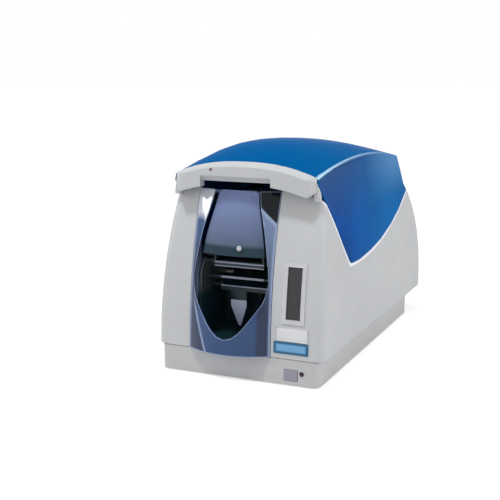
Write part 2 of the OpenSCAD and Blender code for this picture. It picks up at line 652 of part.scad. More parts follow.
// ---- side frames and card path
module frame_holes(x0, x1) {
    for (y = [feed_y, platen_y, back_y]) rod(x0, x1, y, drive_z, shaft_r + run_gap);
    for (y = [feed_y, back_y]) rod(x0, x1, y, path_z + card_room + pinch_r, pinch_shaft_r + run_gap);
    rod(x0, x1, clean_y, path_z + card_room + clean_r, pinch_shaft_r + run_gap);
    rod(x0, x1, pick_y, path_z - pick_r, shaft_r + run_gap);
    rod(x0, x1, exit_y, exit_top - exit_r, shaft_r + run_gap);
    rod(x0, x1, exit_y, exit_top + card_room + exit_pinch_r, pinch_shaft_r + run_gap);
    rod(x0, x1, gate_y, gate_z, 2 + run_gap);
    rod(x0, x1, take_y, take_z, shaft_r + run_gap);
    rod(x0, x1, supply_y, supply_z, shaft_r + run_gap);
    rod(x0, x1, arm_y, arm_z, 3 + run_gap);
}
module frame_plate() polygon([[frame_y0, floor_z], [frame_y1, floor_z], [frame_y1, arm_z + 12],
    [arm_y - 8, arm_z + 12], [arm_y - 20, arm_z + 8], [supply_y + 12, supply_z + 13],
    [supply_y - 12, supply_z + 13], [supply_y - 24, arm_z + 8], [take_y + 24, arm_z + 4],
    [take_y + 14, take_z + 13], [take_y - 14, take_z + 13], [take_y - 22, arm_z + 4], [feed_y - 17, path_z],
    [frame_y0 + 10, path_z], [frame_y0, path_z - 16]]);
module chassis_left() color("#8f9498") placed() difference() {
    yz(frame_x0 - frame_t, frame_x0) frame_plate();
    frame_holes(frame_x0 - 20, frame_x0 + 1);
}
module chassis_right() color("#8f9498") placed() difference() {
    yz(frame_x1, frame_x1 + frame_t) frame_plate();
    frame_holes(frame_x1 - 1, frame_x1 + 20);
    rod(frame_x1 - 1, frame_x1 + 20, motor_y, motor_z, motor_pulley_r + 1);
}
module frame_angles() color("#9ea3a7") placed()
    for (x = [frame_x0 - frame_t - angle_w, frame_x1 + frame_t]) {
        box(x, x + angle_w, frame_y0, frame_y1, floor_z, floor_z + frame_t);
        box(x, x + angle_w, frame_y1 - frame_t, frame_y1, floor_z + 8, arm_z + 4);
    }
module cross_ties() color("#7f858a") placed() {
    for (p = [[min(frame_y1, base_d - 44) - 10, 20], [frame_y1 - 10, arm_z + 2], [110, 96], [90, 24]])
        rod(frame_x0, frame_x1, p[0], p[1], 3);
}
module exit_chute() color("#33383c") placed() {
    difference() {
        union() {
            yz(slot_x - 30, slot_x + 30) polygon([[chute_y0, cz(chute_y0)], [chute_y1, chute_z1],
                [chute_y1, chute_z1 - 2], [chute_y0 + 2, cz(chute_y0) - 2], [chute_y0, cz(chute_y0) - 6]]);
            for (y = [chute_y0 + 6, 108]) box(frame_x0, frame_x1, y, y + 6, cz(y) - 4, cz(y) - 1.4);
            for (s = [-1, 1]) yz(slot_x + s * 29 - 1, slot_x + s * 29 + 1) polygon([[chute_y0, cz(chute_y0) - 6],
                [chute_y0, cz(chute_y0) + 2.4], [chute_y0 + 8, cz(chute_y0 + 8) + 2.4], [chute_y0 + 8, cz(chute_y0 + 8) - 1]]);
        }
        box(slot_x - 27, slot_x + 27, exit_y - 8, exit_y + 8, exit_top - 12, exit_top + 4);
    }
}
module divert_gate() color("#4b5055") placed() {
    rod(slot_x - frame_x - 3, slot_x + frame_x + 3, gate_y, gate_z, 2);
    for (i = [-2 : 2]) yz(slot_x + i * 12 - 3.5, slot_x + i * 12 + 3.5) translate([gate_y, gate_z])
        polygon([[-1, -1.4], [-1, 1.6], [0.4, 2], [9.4, 0.6], [9.4, -0.4], [0.4, -1.8]]);
}
module roller(y, z, r, l) rod(slot_x - l, slot_x + l, y, z, r);
module pulley(x0, y, z, r) {
    rod(x0, x0 + belt_w + 1, y, z, r);
    rod(x0 - 1, x0 + 0.2, y, z, r + 2.4);
    rod(x0 + belt_w + 0.8, x0 + belt_w + 2, y, z, r + 2.4);
}
right_x = frame_x1 + frame_t + 2.4;
left_x = frame_x0 - frame_t - 3.4 - belt_w;
module drive_roller(y, r) {
    roller(y, drive_z, r, roller_l);
    rod(frame_x0 - frame_t - 2, right_x + belt_w + 3, y, drive_z, shaft_r);
    pulley(right_x, y, drive_z, pulley_r);
}
module pick_roller() color("#3c3f41") placed() {
    z = path_z - pick_r;
    roller(pick_y, z, pick_r, 18);
    rod(frame_x0 - frame_t - 12, frame_x1 + frame_t + 3, pick_y, z, shaft_r);
}
module exit_roller() color("#3c3f41") placed() {
    z = exit_top - exit_r;
    for (x = [-17, 17]) rod(slot_x + x - 7, slot_x + x + 7, exit_y, z, exit_r);
    rod(left_x - 1, frame_x1 + frame_t + 2, exit_y, z, shaft_r);
    pulley(left_x, exit_y, z, pulley_r);
}
module exit_pinch() color("#c9ccd0") placed() {
    z = exit_top + card_room + exit_pinch_r;
    for (x = [-17, 17]) rod(slot_x + x - 6, slot_x + x + 6, exit_y, z, exit_pinch_r);
    rod(frame_x0 - frame_t - 1, frame_x1 + frame_t + 1, exit_y, z, pinch_shaft_r);
}
module feed_roller() color("#3c3f41") placed() {
    drive_roller(feed_y, roller_r);
    rod(left_x - 1, frame_x0 - frame_t - 1, feed_y, drive_z, shaft_r);
    pulley(left_x, feed_y, drive_z, pulley_r);
}
module feed_pinch() color("#c9ccd0") placed() {
    z = path_z + card_room + pinch_r;
    roller(feed_y, z, pinch_r, roller_l);
    rod(frame_x0 - frame_t - 1, frame_x1 + frame_t + 1, feed_y, z, pinch_shaft_r);
}
module clean_roller() color("#4c7fb5") placed() {
    z = path_z + card_room + clean_r;
    roller(clean_y, z, clean_r, roller_l);
    rod(frame_x0 - frame_t - 1, frame_x1 + frame_t + 1, clean_y, z, pinch_shaft_r);
}
module platen_roller() color("#3c3f41") placed() drive_roller(platen_y, roller_r);
module back_roller() color("#3c3f41") placed() drive_roller(back_y, roller_r);
module back_pinch() color("#c9ccd0") placed() {
    z = path_z + card_room + pinch_r;
    roller(back_y, z, pinch_r, roller_l);
    rod(frame_x0 - frame_t - 1, frame_x1 + frame_t + 1, back_y, z, pinch_shaft_r);
}

// ---- drive
module loop(p, g) hull() for (q = p) translate([q[0], q[1]]) circle(r = q[2] + g);
module belt(x0, p) yz(x0, x0 + belt_w) difference() {
    loop(p, belt_gap + belt_t);
    loop(p, belt_gap);
}
module drive_belt() color("#1d1e20") placed()
    belt(right_x + 0.5, [[feed_y, drive_z, pulley_r], [back_y, drive_z, pulley_r], [motor_y, motor_z, motor_pulley_r]]);
module exit_belt() color("#1d1e20") placed()
    belt(left_x + 0.5, [[feed_y, drive_z, pulley_r], [exit_y, exit_top - exit_r, pulley_r]]);
module motor_body(x0, l, y, z, w) difference() {
    box(x0, x0 + l, y - w / 2, y + w / 2, z - w / 2, z + w / 2);
    for (a = [45 : 90 : 315]) translate([x0 - 1, y + w * 0.7 * cos(a), z + w * 0.7 * sin(a)]) rotate([a, 0, 0])
        translate([0, -3, -3]) cube([l + 2, 6, 6]);
    children();
}
module drive_motor() color("#33363a") placed()
    motor_body(frame_x1 - motor_l, motor_l, motor_y, motor_z, motor_w) rod(frame_x1 - motor_l + 4, frame_x1 + 1, motor_y, motor_z, 2.5 + run_gap);
module motor_pulley() color("#b8bcc0") placed() {
    rod(frame_x1 - motor_l + 6, right_x + belt_w + 4, motor_y, motor_z, 2.5);
    pulley(right_x, motor_y, motor_z, motor_pulley_r);
}
module pick_motor() color("#33363a") placed()
    motor_body(frame_x0 - frame_t - motor_l, motor_l, pick_y, path_z - pick_r, motor_w - 1)
        rod(frame_x0 - frame_t - 14, frame_x0 + 1, pick_y, path_z - pick_r, shaft_r + run_gap);
module take_motor() color("#33363a") placed() difference() {
    rod(frame_x0 - frame_t - 22, frame_x0 - frame_t, take_y, take_z, 13);
    rod(frame_x0 - frame_t - 14, frame_x0 + 1, take_y, take_z, shaft_r + run_gap);
}

// ---- printing
module print_head() color("#4a4e52") placed() {
    box(slot_x - 29, slot_x + 29, platen_y - 8, platen_y + 8, head_z + 4, head_z + 12);
    yz(slot_x - 29, slot_x + 29) polygon([[platen_y - 8, head_z + 5], [platen_y - 3, head_z], [platen_y + 2, head_z], [platen_y + 8, head_z + 5]]);
    for (i = [0 : 4]) box(slot_x - 29, slot_x + 29, platen_y - 8 + 3.6 * i, platen_y - 6.4 + 3.6 * i, head_z + 11, head_z + 18);
}
module head_arm() color("#9aa0a5") placed() {
    arm_x = frame_x - 6.5;
    box(slot_x - arm_x - 0.5, slot_x + arm_x + 0.5, platen_y - 8, platen_y + 8, head_z + 18, head_z + 20);
    for (s = [-1, 1]) difference() {
        yz(slot_x + s * arm_x - 0.8, slot_x + s * arm_x + 0.8) polygon([[platen_y - 8, head_z + 8], [platen_y - 8, head_z + 20],
            [platen_y + 12, head_z + 20], [arm_y - 6, arm_z + 5], [arm_y + 6, arm_z + 5], [arm_y + 6, arm_z - 6],
            [arm_y - 8, arm_z - 6], [platen_y + 14, head_z + 8]]);
        rod(slot_x + s * arm_x - 5, slot_x + s * arm_x + 5, arm_y, arm_z, 2.9);
    }
    rod(frame_x0 - frame_t - 1, frame_x1 + frame_t + 1, arm_y, arm_z, 3);
}
module spool(y, z, roll) {
    roller(y, z, core_r, 33);
    roller(y, z, roll, ribbon_x);
    for (s = [-1, 1]) rod(slot_x + s * 32 - 1, slot_x + s * 32 + 1, y, z, flange_r);
}
module supply_spool() color("#20242c") placed() {
    spool(supply_y, supply_z, supply_roll_r);
    rod(frame_x0 - frame_t - 2, frame_x1 + frame_t + 10, supply_y, supply_z, shaft_r);
    rod(frame_x1 + frame_t + 2, frame_x1 + frame_t + 10, supply_y, supply_z, 11);
}
module take_spool() color("#20242c") placed() {
    spool(take_y, take_z, take_roll_r);
    rod(frame_x0 - frame_t - 12, frame_x1 + frame_t + 10, take_y, take_z, shaft_r);
    rod(frame_x1 + frame_t + 2, frame_x1 + frame_t + 10, take_y, take_z, 11);
}
module ribbon_film() color([0.1, 0.1, 0.25]) placed() {
    a = [take_y + take_roll_r + 0.2 + ribbon_t, take_z]; b = [platen_y - 7, head_z - 0.6];
    c = [platen_y + 6, head_z - 0.6]; d = [supply_y - supply_roll_r - 0.2 - ribbon_t, supply_z];
    yz(slot_x - ribbon_x, slot_x + ribbon_x) polygon([a, b, c, d, [d[0] + ribbon_t, d[1]],
        [c[0] + ribbon_t, c[1] - ribbon_t], [b[0] - ribbon_t, b[1] - ribbon_t], [a[0] - ribbon_t, a[1]]]);
}

// ---- electronics
module main_board() color("#2e6b3a") placed() {
    box(-44, 24, 98, 202, board_z, board_z + board_t);
    box(-30, -12, 120, 138, board_z + 1, board_z + 4.2);
    box(0, 12, 120, 132, board_z + 1, board_z + 3.6);
    for (i = [0 : 3]) box(-38 + 15 * i, -28 + 15 * i, 180, 186, board_z + 1, board_z + 9);
    for (i = [0 : 2]) post(-34 + 14 * i, 160, board_z + 1, board_z + 12, 4);
}
module power_board() color("#2e6b3a") placed() {
    box(power_x0, power_x0 + 35, 140, 262, board_z, board_z + board_t);
    box(power_x0 + 5, power_x0 + 29, 160, 188, board_z + 1, board_z + 22);
    for (y = [205, 222]) post(power_x0 + 17, y, board_z + 1, board_z + 20, 7);
    box(power_x0 + 4, power_x0 + 8, 236, 256, board_z + 1, board_z + 18);
}
module port_board() color("#2e6b3a") placed() box(-51, 18, base_d - 38, base_d - 6, port_z, port_z + board_t);
module data_socket() color("#c9ccd0") placed() difference() {
    box(-46, -34, base_d - 16, base_d + 0.4, port_z + board_t, port_z + board_t + 12);
    box(-44.4, -35.6, base_d - 10, base_d + 2, port_z + board_t + 1.8, port_z + board_t + 10.4);
}
module power_inlet() color("#1c1d1f") placed() difference() {
    box(-6, 3, base_d - 16, base_d + 0.4, port_z + board_t, port_z + board_t + 11);
    difference() {
        yrod(-1.5, base_d - 12, base_d + 2, port_z + board_t + 5.6, 3.2);
        yrod(-1.5, base_d - 13, base_d - 0.4, port_z + board_t + 5.6, 1.1);
    }
}
module switch_frame() color("#1c1d1f") placed() difference() {
    union() {
        box(46.2, 60.8, base_d - 16, base_d + 0.4, 7.8, 25.2);
        box(44.6, 62.4, base_d + 0.02, base_d + 1.4, 6.2, 26.8);
    }
    box(48, 59, base_d - 12, base_d + 3, 9.6, 23.4);
    rod(47.2, 59.8, base_d - 4, 16.5, 1.2 + run_gap);
}
module power_rocker() color("#16171a") placed() {
    yz(48.4, 58.6) translate([base_d - 4, 16.5]) rotate(-5)
        polygon([[-3, -5.9], [3, -6.1], [6.2, -6.1], [4.9, 0], [6.2, 6.1], [3, 6.1], [-3, 5.9]]);
    rod(47.4, 59.6, base_d - 4, 16.5, 1.2);
}
module fan_frame() color("#1c1d1f") placed() {
    z = seam_z + wall + fan_w / 2;
    difference() {
        box(-fan_w / 2, fan_w / 2, fan_y, fan_y + fan_t, z - fan_w / 2, z + fan_w / 2);
        yrod(0, fan_y - 1, fan_y + fan_t + 1, z, fan_w / 2 - 2);
    }
    for (a = [0, 90]) translate([0, fan_y + fan_t - 1, z]) rotate([0, a + 45, 0]) cube([fan_w * 1.1, 2, 2.4], center = true);
    yrod(0, fan_y + fan_t - 4, fan_y + fan_t, z, 11);
    yrod(0, fan_y + 2, fan_y + fan_t - 3, z, 2);
}
module fan_rotor() color("#2b2d30") placed() {
    z = seam_z + wall + fan_w / 2;
    difference() {
        yrod(0, fan_y + 0.6, fan_y + fan_t - 4.6, z, 10);
        yrod(0, fan_y + 1.4, fan_y + fan_t, z, 2 + run_gap);
    }
    for (a = [0 : 51.4286 : 350]) translate([0, fan_y + 4.8, z]) rotate([0, a, 0]) rotate([0, 0, 0])
        translate([15, 0, 0]) rotate([35, 0, 0]) cube([13, 6.6, 1.2], center = true);
}

// ---- display and controls
module display_frame() color("#d2d1cf") placed() difference() {
    intersection() {
        skin(-1.1);
        box(view_x - view_w / 2, view_x + view_w / 2, -5, 40, view_z0, view_z0 + view_h);
    }
    skin(-0.05);
    box(view_x - view_w / 2 + view_m, view_x + view_w / 2 - view_m, -5, 40, view_z0 + view_m, view_z0 + view_h - view_m);
}
module display_window() color([0.2, 0.2, 0.22, 0.8]) placed() difference() {
    intersection() {
        skin(0.5);
        box(view_x - view_w / 2 + view_m, view_x + view_w / 2 - view_m, -5, 40, view_z0 + view_m, view_z0 + view_h - view_m);
    }
    skin(2.4);
}
module display_board() color("#2e6b3a") placed() {
    box(view_x - 18, view_x + 18, 26, 26 + board_t, view_z0 - 2, view_z0 + view_h + 2);
    box(view_x - 8, view_x + 8, 13.5, 26.5, view_z0 + 6, view_z0 + view_h - 6);
}
module user_button() color("#9a93a3") placed() {
    box(button_x - button_w / 2, button_x + button_w / 2, -0.8, 4.4, button_z - button_h / 2, button_z + button_h / 2);
    box(button_x - button_w / 2 - 1.6, button_x + button_w / 2 + 1.6, wall + 0.2, 4.4, button_z - button_h / 2 - 1.2, button_z + button_h / 2 + 1.6);
}
module button_board() color("#2e6b3a") placed() {
    box(button_x - 13.2, button_x + 20.8, 8, 8 + board_t, 5, 27);
    box(button_x - 3, button_x + 3, 4.5 + button_travel, 8.5, button_z - 3, button_z + 3);
}
module status_lamp() color("#5b2f33") placed() yrod(lamp_x, -0.6, 8, lamp_z, lamp_r);

base_pan();
feet();
housing();
front_bezel();
output_hopper();
input_hopper();
hopper_cover();
cover_catch();
card_weight();
chassis_left();
chassis_right();
cross_ties();
exit_chute();
divert_gate();
pick_roller();
exit_roller();
exit_pinch();
feed_roller();
feed_pinch();
clean_roller();
platen_roller();
back_roller();
back_pinch();
drive_belt();
exit_belt();
drive_motor();
motor_pulley();
pick_motor();
print_head();
head_arm();
supply_spool();
take_spool();
take_motor();
ribbon_film();
main_board();
power_board();
port_board();
data_socket();
power_inlet();
switch_frame();
power_rocker();
fan_frame();
fan_rotor();
display_frame();
display_window();
display_board();
user_button();
button_board();
status_lamp();
lid();
lid_hood();
hinge_pins();
board_spacers();
frame_angles();
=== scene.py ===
import json
import math

import bpy
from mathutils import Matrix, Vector

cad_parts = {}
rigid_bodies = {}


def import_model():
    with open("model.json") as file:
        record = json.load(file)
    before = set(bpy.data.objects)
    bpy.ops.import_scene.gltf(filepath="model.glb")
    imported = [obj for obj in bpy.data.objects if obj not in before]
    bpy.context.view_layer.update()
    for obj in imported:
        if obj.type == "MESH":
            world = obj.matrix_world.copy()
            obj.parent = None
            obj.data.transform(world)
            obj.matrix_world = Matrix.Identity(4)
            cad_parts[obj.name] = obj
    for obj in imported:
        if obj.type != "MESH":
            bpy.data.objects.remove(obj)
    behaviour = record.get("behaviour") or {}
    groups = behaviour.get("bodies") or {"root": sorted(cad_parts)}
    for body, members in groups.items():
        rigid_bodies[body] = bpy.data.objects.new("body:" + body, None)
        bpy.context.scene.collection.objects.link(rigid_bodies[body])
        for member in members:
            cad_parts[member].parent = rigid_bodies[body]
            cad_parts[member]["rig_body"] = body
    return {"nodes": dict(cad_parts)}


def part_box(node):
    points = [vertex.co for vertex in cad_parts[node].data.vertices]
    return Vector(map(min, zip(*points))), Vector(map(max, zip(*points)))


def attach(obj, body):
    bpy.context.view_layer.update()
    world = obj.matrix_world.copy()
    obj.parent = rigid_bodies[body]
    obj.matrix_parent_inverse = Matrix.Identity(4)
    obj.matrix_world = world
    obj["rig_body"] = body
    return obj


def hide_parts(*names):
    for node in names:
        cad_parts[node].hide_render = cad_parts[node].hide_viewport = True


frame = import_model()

scene = bpy.context.scene
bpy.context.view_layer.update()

# ---- Viewpoint
# A 68.5 mm lens stands to the right of the machine's middle and a little above its cover. It looks
# down and to the left along one line.
LENS = 68.52
LENS_PLACE = (0.42064, -1.11812, 0.33848)
LENS_LINE = (-0.39728, 0.89822, -0.18807)
lens_data = bpy.data.cameras.new("viewpoint")
lens_data.lens = LENS
lens_data.sensor_width = 36
viewpoint = bpy.data.objects.new("viewpoint", lens_data)
scene.collection.objects.link(viewpoint)
viewpoint.location = LENS_PLACE
viewpoint.rotation_euler = Vector(LENS_LINE).to_track_quat("-Z", "Y").to_euler()
scene.camera = viewpoint
scene.view_settings.view_transform = "Standard"

# ---- Table and light
# The machine stands on a pale table in an even white room. A small lamp hangs above its front, and
# two softer ones stand at its left and right.
WHITE = (1, 1, 1, 1)
ROOM_LIGHT = 0.62
TABLE_WIDE = 30
TABLE_GREY = (0.78, 0.78, 0.78, 1)
TABLE_GLOW = 0.5
MACHINE_MIDDLE = Vector((0, 0, 0.12))


def fill(tree, node, sockets):
    """Links a node's sockets to the outputs of other nodes, or sets their values."""
    for name, value in sockets.items():
        if isinstance(value, bpy.types.NodeSocket):
            tree.links.new(value, node.inputs[name])
        else:
            node.inputs[name].default_value = value


def put(tree, kind, sockets=None, **settings):
    """Adds a shader node, sets it up and fills its sockets."""
    made = tree.nodes.new(kind)
    for name, value in settings.items():
        setattr(made, name, value)
    fill(tree, made, sockets or {})
    return made


def maths(how, *terms):
    """The result of one sum on values and sockets, made in the sockets' own tree."""
    tree = next(term for term in terms if isinstance(term, bpy.types.NodeSocket)).id_data
    return put(tree, "ShaderNodeMath", dict(enumerate(terms)), operation=how).outputs[0]


def span(value, low, high, start=0.3, stop=0.7):
    """Stretches the part of a pattern between start and stop over a range."""
    sockets = {"Value": value, "From Min": start, "From Max": stop, "To Min": low, "To Max": high}
    return put(value.id_data, "ShaderNodeMapRange", sockets).outputs[0]


room = bpy.data.worlds.new("white_room")
room.use_nodes = True
scene.world = room
rays = put(room.node_tree, "ShaderNodeLightPath").outputs
seen = maths("MAXIMUM", rays["Is Camera Ray"], rays["Is Glossy Ray"])
seen = maths("MAXIMUM", seen, rays["Is Transmission Ray"])
fill(room.node_tree, room.node_tree.nodes["Background"],
     {"Color": WHITE, "Strength": span(seen, ROOM_LIGHT, 1, 0, 1)})

bpy.ops.object.select_all(action="DESELECT")
bpy.ops.mesh.primitive_plane_add(size=TABLE_WIDE)
table = bpy.context.object
table.name = "table"
table_finish = bpy.data.materials.new("table_white")
table_finish.use_nodes = True
tree = table_finish.node_tree
table_shader = tree.nodes["Principled BSDF"]
fill(tree, table_shader, {"Base Color": TABLE_GREY, "Roughness": 0.9})
rays = put(tree, "ShaderNodeLightPath").outputs
seen = maths("MAXIMUM", rays["Is Camera Ray"], rays["Is Transmission Ray"])
glow = put(tree, "ShaderNodeEmission", {"Color": WHITE, "Strength": maths("MULTIPLY", seen, TABLE_GLOW)})
both = put(tree, "ShaderNodeAddShader", {0: table_shader.outputs[0], 1: glow.outputs[0]})
fill(tree, tree.nodes["Material Output"], {"Surface": both.outputs[0]})
table.data.materials.append(table_finish)


def hang_lamp(name, place, wide, tall, watts):
    """A flat lamp that faces the machine's middle."""
    data = bpy.data.lights.new(name, "AREA")
    data.shape = "RECTANGLE"
    data.size = wide
    data.size_y = tall
    data.energy = watts
    lamp = bpy.data.objects.new(name, data)
    scene.collection.objects.link(lamp)
    lamp.location = place
    lamp.rotation_euler = (MACHINE_MIDDLE - lamp.location).to_track_quat("-Z", "Y").to_euler()


hang_lamp("front_lamp", (-0.22, -0.76, 1.75), wide=0.22, tall=0.22, watts=14)
hang_lamp("left_lamp", (-1.5, -0.78, 0.71), wide=0.5, tall=0.28, watts=4.4)
hang_lamp("right_lamp", (1.9, 0.25, 0.9), wide=1.2, tall=1.2, watts=13)


# ---- Base
# The tray that everything stands on, injection moulded in light grey ABS with a fine spark-eroded
# grain. Its boards, side frames and feet are fixed to its floor.
def paint(code):
    """The linear colour of a paint chip written as a hex code."""
    parts = [int(code[i:i + 2], 16) / 255 for i in (1, 3, 5)]
    return tuple(p / 12.92 if p <= 0.04045 else ((p + 0.055) / 1.055) ** 2.4 for p in parts) + (1,)


def effect(name, takes, gives):
    """An empty shader group with named sockets, what it takes in, and the node that it gives out."""
    group = bpy.data.node_groups.new(name, "ShaderNodeTree")
    for way, sockets in (("INPUT", takes), ("OUTPUT", gives)):
        for label, kind in sockets.items():
            group.interface.new_socket(label, in_out=way, socket_type="NodeSocket" + kind)
    return group, put(group, "NodeGroupInput").outputs, put(group, "NodeGroupOutput")


def tint(share, first, second):
    """Lays a share of the second colour over the first."""
    return put(share.id_data, "ShaderNodeMixRGB",
               {"Fac": share, "Color1": first, "Color2": second}).outputs[0]


def noise(place, scale, detail):
    """A cloudy pattern."""
    return put(place.id_data, "ShaderNodeTexNoise",
               {"Vector": place, "Scale": scale, "Detail": detail}).outputs["Fac"]


def bump(height, deep, strength=1.0):
    """The surface's direction where a pattern raises it."""
    return put(height.id_data, "ShaderNodeBump",
               {"Height": height, "Distance": deep, "Strength": strength}).outputs[0]


moulded_grain, takes, gives = effect(
    "moulded_grain",
    {"Place": "Vector", "Colour": "Color", "Shade": "Color", "Cells": "Float", "Gloss Loss": "Float"},
    {"Colour": "Color", "Roughness": "Float", "Height": "Float"})
pits = noise(takes["Place"], scale=takes["Cells"], detail=2.0)
flow = noise(takes["Place"], scale=16.0, detail=4.0)
smudge = noise(takes["Place"], scale=55.0, detail=2.0)
cloudy = tint(span(flow, 0, 0.5), takes["Colour"], takes["Shade"])
fill(moulded_grain, gives, {
    "Colour": tint(span(pits, 0, 0.18), cloudy, takes["Shade"]),
    "Roughness": maths("ADD", span(smudge, -0.07, 0.07), takes["Gloss Loss"]),
    "Height": pits})

rubbed_edges, takes, gives = effect(
    "rubbed_edges", {"Place": "Vector", "Colour": "Color", "Bare": "Color", "Share": "Float"},
    {"Colour": "Color"})
bends = put(rubbed_edges, "ShaderNodeNewGeometry").outputs["Pointiness"]
patches = noise(takes["Place"], scale=120.0, detail=3.0)
crest = maths("MULTIPLY", span(bends, 0, 1, 0.53, 0.6), span(patches, 0.3, 1))
crest = maths("MULTIPLY", crest, takes["Share"])
fill(rubbed_edges, gives, {"Colour": tint(crest, takes["Colour"], takes["Bare"])})


def new_finish(name):
    """A material with its shader and the object's own coordinates."""
    finish = bpy.data.materials.new(name)
    finish.use_nodes = True
    tree = finish.node_tree
    return finish, tree, tree.nodes["Principled BSDF"], put(tree, "ShaderNodeTexCoord").outputs["Object"]


def grained(place, colour, shade, cells, loss):
    """The moulded grain's outputs in a material, with the material's own values."""
    return put(place.id_data, "ShaderNodeGroup",
               {"Place": place, "Colour": paint(colour), "Shade": paint(shade), "Cells": cells,
                "Gloss Loss": loss}, node_tree=moulded_grain).outputs


def moulded(name, colour, shade, bare, cells=1100.0, loss=0.5, relief=0.00006, rubbed=0.35, shine=0.5):
    """Moulded plastic with its grain, cloudiness and rubbed edges."""
    finish, tree, shader, place = new_finish(name)
    grain = grained(place, colour, shade, cells, loss)
    worn = put(tree, "ShaderNodeGroup", {"Place": place, "Colour": grain["Colour"], "Bare": paint(bare),
                                         "Share": rubbed}, node_tree=rubbed_edges)
    fill(tree, shader, {"Base Color": worn.outputs["Colour"], "Roughness": grain["Roughness"],
                        "Normal": bump(grain["Height"], relief, 0.6), "Specular IOR Level": shine})
    return finish


def pick(piece):
    """Makes a piece the only one that operators act on."""
    if bpy.context.object and bpy.context.object.mode != "OBJECT":
        bpy.ops.object.mode_set(mode="OBJECT")
    bpy.ops.object.select_all(action="DESELECT")
    piece.select_set(True)
    bpy.context.view_layer.objects.active = piece


def bake_in(piece, kind, **settings):
    """Adds a modifier to a piece and applies it."""
    pick(piece)
    change = piece.modifiers.new(kind.lower(), kind)
    for name, value in settings.items():
        setattr(change, name, value)
    bpy.ops.object.modifier_apply(modifier=change.name)


def paint_zones(piece, finish, zones):
    """Gives each face the finish of the first zone that holds its middle."""
    piece.data.materials.clear()
    piece.data.materials.append(finish)
    for other, _ in zones:
        piece.data.materials.append(other)
    for face in piece.data.polygons:
        face.material_index = next((i + 1 for i, (_, holds) in enumerate(zones) if holds(face.center)), 0)


FLAT = math.radians(0.4)
CORNER = math.radians(32)


def build_up(node, finish, edge=0.0003, zones=(), join=0.00001, clamp=True):
    """The finished piece for a CAD solid: one skin, eased edges, smooth curves."""
    solid = frame["nodes"][node]
    piece = bpy.data.objects.new(node + "_finished", solid.data.copy())
    scene.collection.objects.link(piece)
    pick(piece)
    bpy.ops.object.mode_set(mode="EDIT")
    bpy.ops.mesh.select_all(action="SELECT")
    bpy.ops.mesh.remove_doubles(threshold=join)
    bpy.ops.mesh.dissolve_limited(angle_limit=FLAT)
    bpy.ops.object.mode_set(mode="OBJECT")
    if edge:
        bake_in(piece, "BEVEL", width=edge, segments=2, limit_method="ANGLE", angle_limit=CORNER,
                use_clamp_overlap=clamp)
    paint_zones(piece, finish, zones)
    pick(piece)
    bpy.ops.object.shade_smooth_by_angle(angle=CORNER)
    bake_in(piece, "WEIGHTED_NORMAL", keep_sharp=True)
    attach(piece, solid["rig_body"])
    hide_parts(node)
    return piece


base_plastic = moulded("base_plastic", "#bdbebf", "#b1b2b4", "#d0d1d2")
build_up("base_pan", base_plastic, edge=0.0005)

# Four rubber feet pressed into seats under the floor.
foot_rubber = moulded("foot_rubber", "#2a2a2b", "#1f1f20", "#3c3c3d",
                      cells=1500.0, loss=0.85, relief=0.0001, rubbed=0.2, shine=0.3)
build_up("feet", foot_rubber)

# ---- Boards
# Green glass-fibre boards with chips, coils and capacitors. The large ones stand on the base on
# white nylon posts, and the small ones stand behind the display, the button and the rear sockets.
BOARD_RISE = 0.0017
LOW_PARTS = 0.0095
BUTTON_CHIPS = -0.1938
DISPLAY_CHIPS = -0.1758
nylon = moulded("white_nylon", "#d8d9da", "#cccdce", "#e4e4e4",
                cells=700.0, loss=0.4, relief=0.00003, rubbed=0.1)
build_up("board_spacers", nylon, edge=0.0002)

circuit_tracks, takes, gives = effect("circuit_tracks", {"Place": "Vector"},
                                      {"Track": "Float", "Pad": "Float"})
runs = put(circuit_tracks, "ShaderNodeTexBrick",
           {"Vector": takes["Place"], "Scale": 160.0, "Mortar Size": 0.04,
            "Color1": (0, 0, 0, 1), "Color2": (0, 0, 0, 1), "Mortar": WHITE})
dots = put(circuit_tracks, "ShaderNodeTexVoronoi", {"Vector": takes["Place"], "Scale": 260.0})
fill(circuit_tracks, gives, {"Track": runs.outputs["Color"],
                             "Pad": span(dots.outputs["Distance"], 1, 0, 0.12, 0.16)})

circuit, tree, shader, place = new_finish("circuit_board")
tracks = put(tree, "ShaderNodeGroup", {"Place": place}, node_tree=circuit_tracks).outputs
mask = tint(tracks["Track"], paint("#1d4a2a"), paint("#2f6a3c"))
fill(tree, shader, {"Base Color": tint(tracks["Pad"], mask, paint("#b9b7a0")), "Metallic": tracks["Pad"],
                    "Normal": bump(tracks["Track"], 0.00005), "Roughness": 0.35})

chip_black = moulded("chip_black", "#202124", "#191a1c", "#35363a",
                     cells=1600.0, loss=0.5, relief=0.00003, rubbed=0.1)
can_silver = moulded("can_silver", "#a9adb1", "#9a9ea2", "#c9cccf",
                     cells=500.0, loss=0.35, relief=0.00002, rubbed=0.2)
can_silver.node_tree.nodes["Principled BSDF"].inputs["Metallic"].default_value = 0.9
board_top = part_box("main_board")[0].z + BOARD_RISE
build_up("main_board", circuit, edge=0.0001,
         zones=((can_silver, lambda c: c.z > board_top + LOW_PARTS), (chip_black, lambda c: c.z > board_top)))
build_up("power_board", circuit, edge=0.0001,
         zones=((chip_black, lambda c: c.z > board_top and c.y < 0), (can_silver, lambda c: c.z > board_top)))
build_up("port_board", circuit, edge=0.0001)
build_up("button_board", circuit, edge=0.0001, zones=((chip_black, lambda c: c.y < BUTTON_CHIPS),))
build_up("display_board", circuit, edge=0.0001, zones=((chip_black, lambda c: c.y < DISPLAY_CHIPS),))

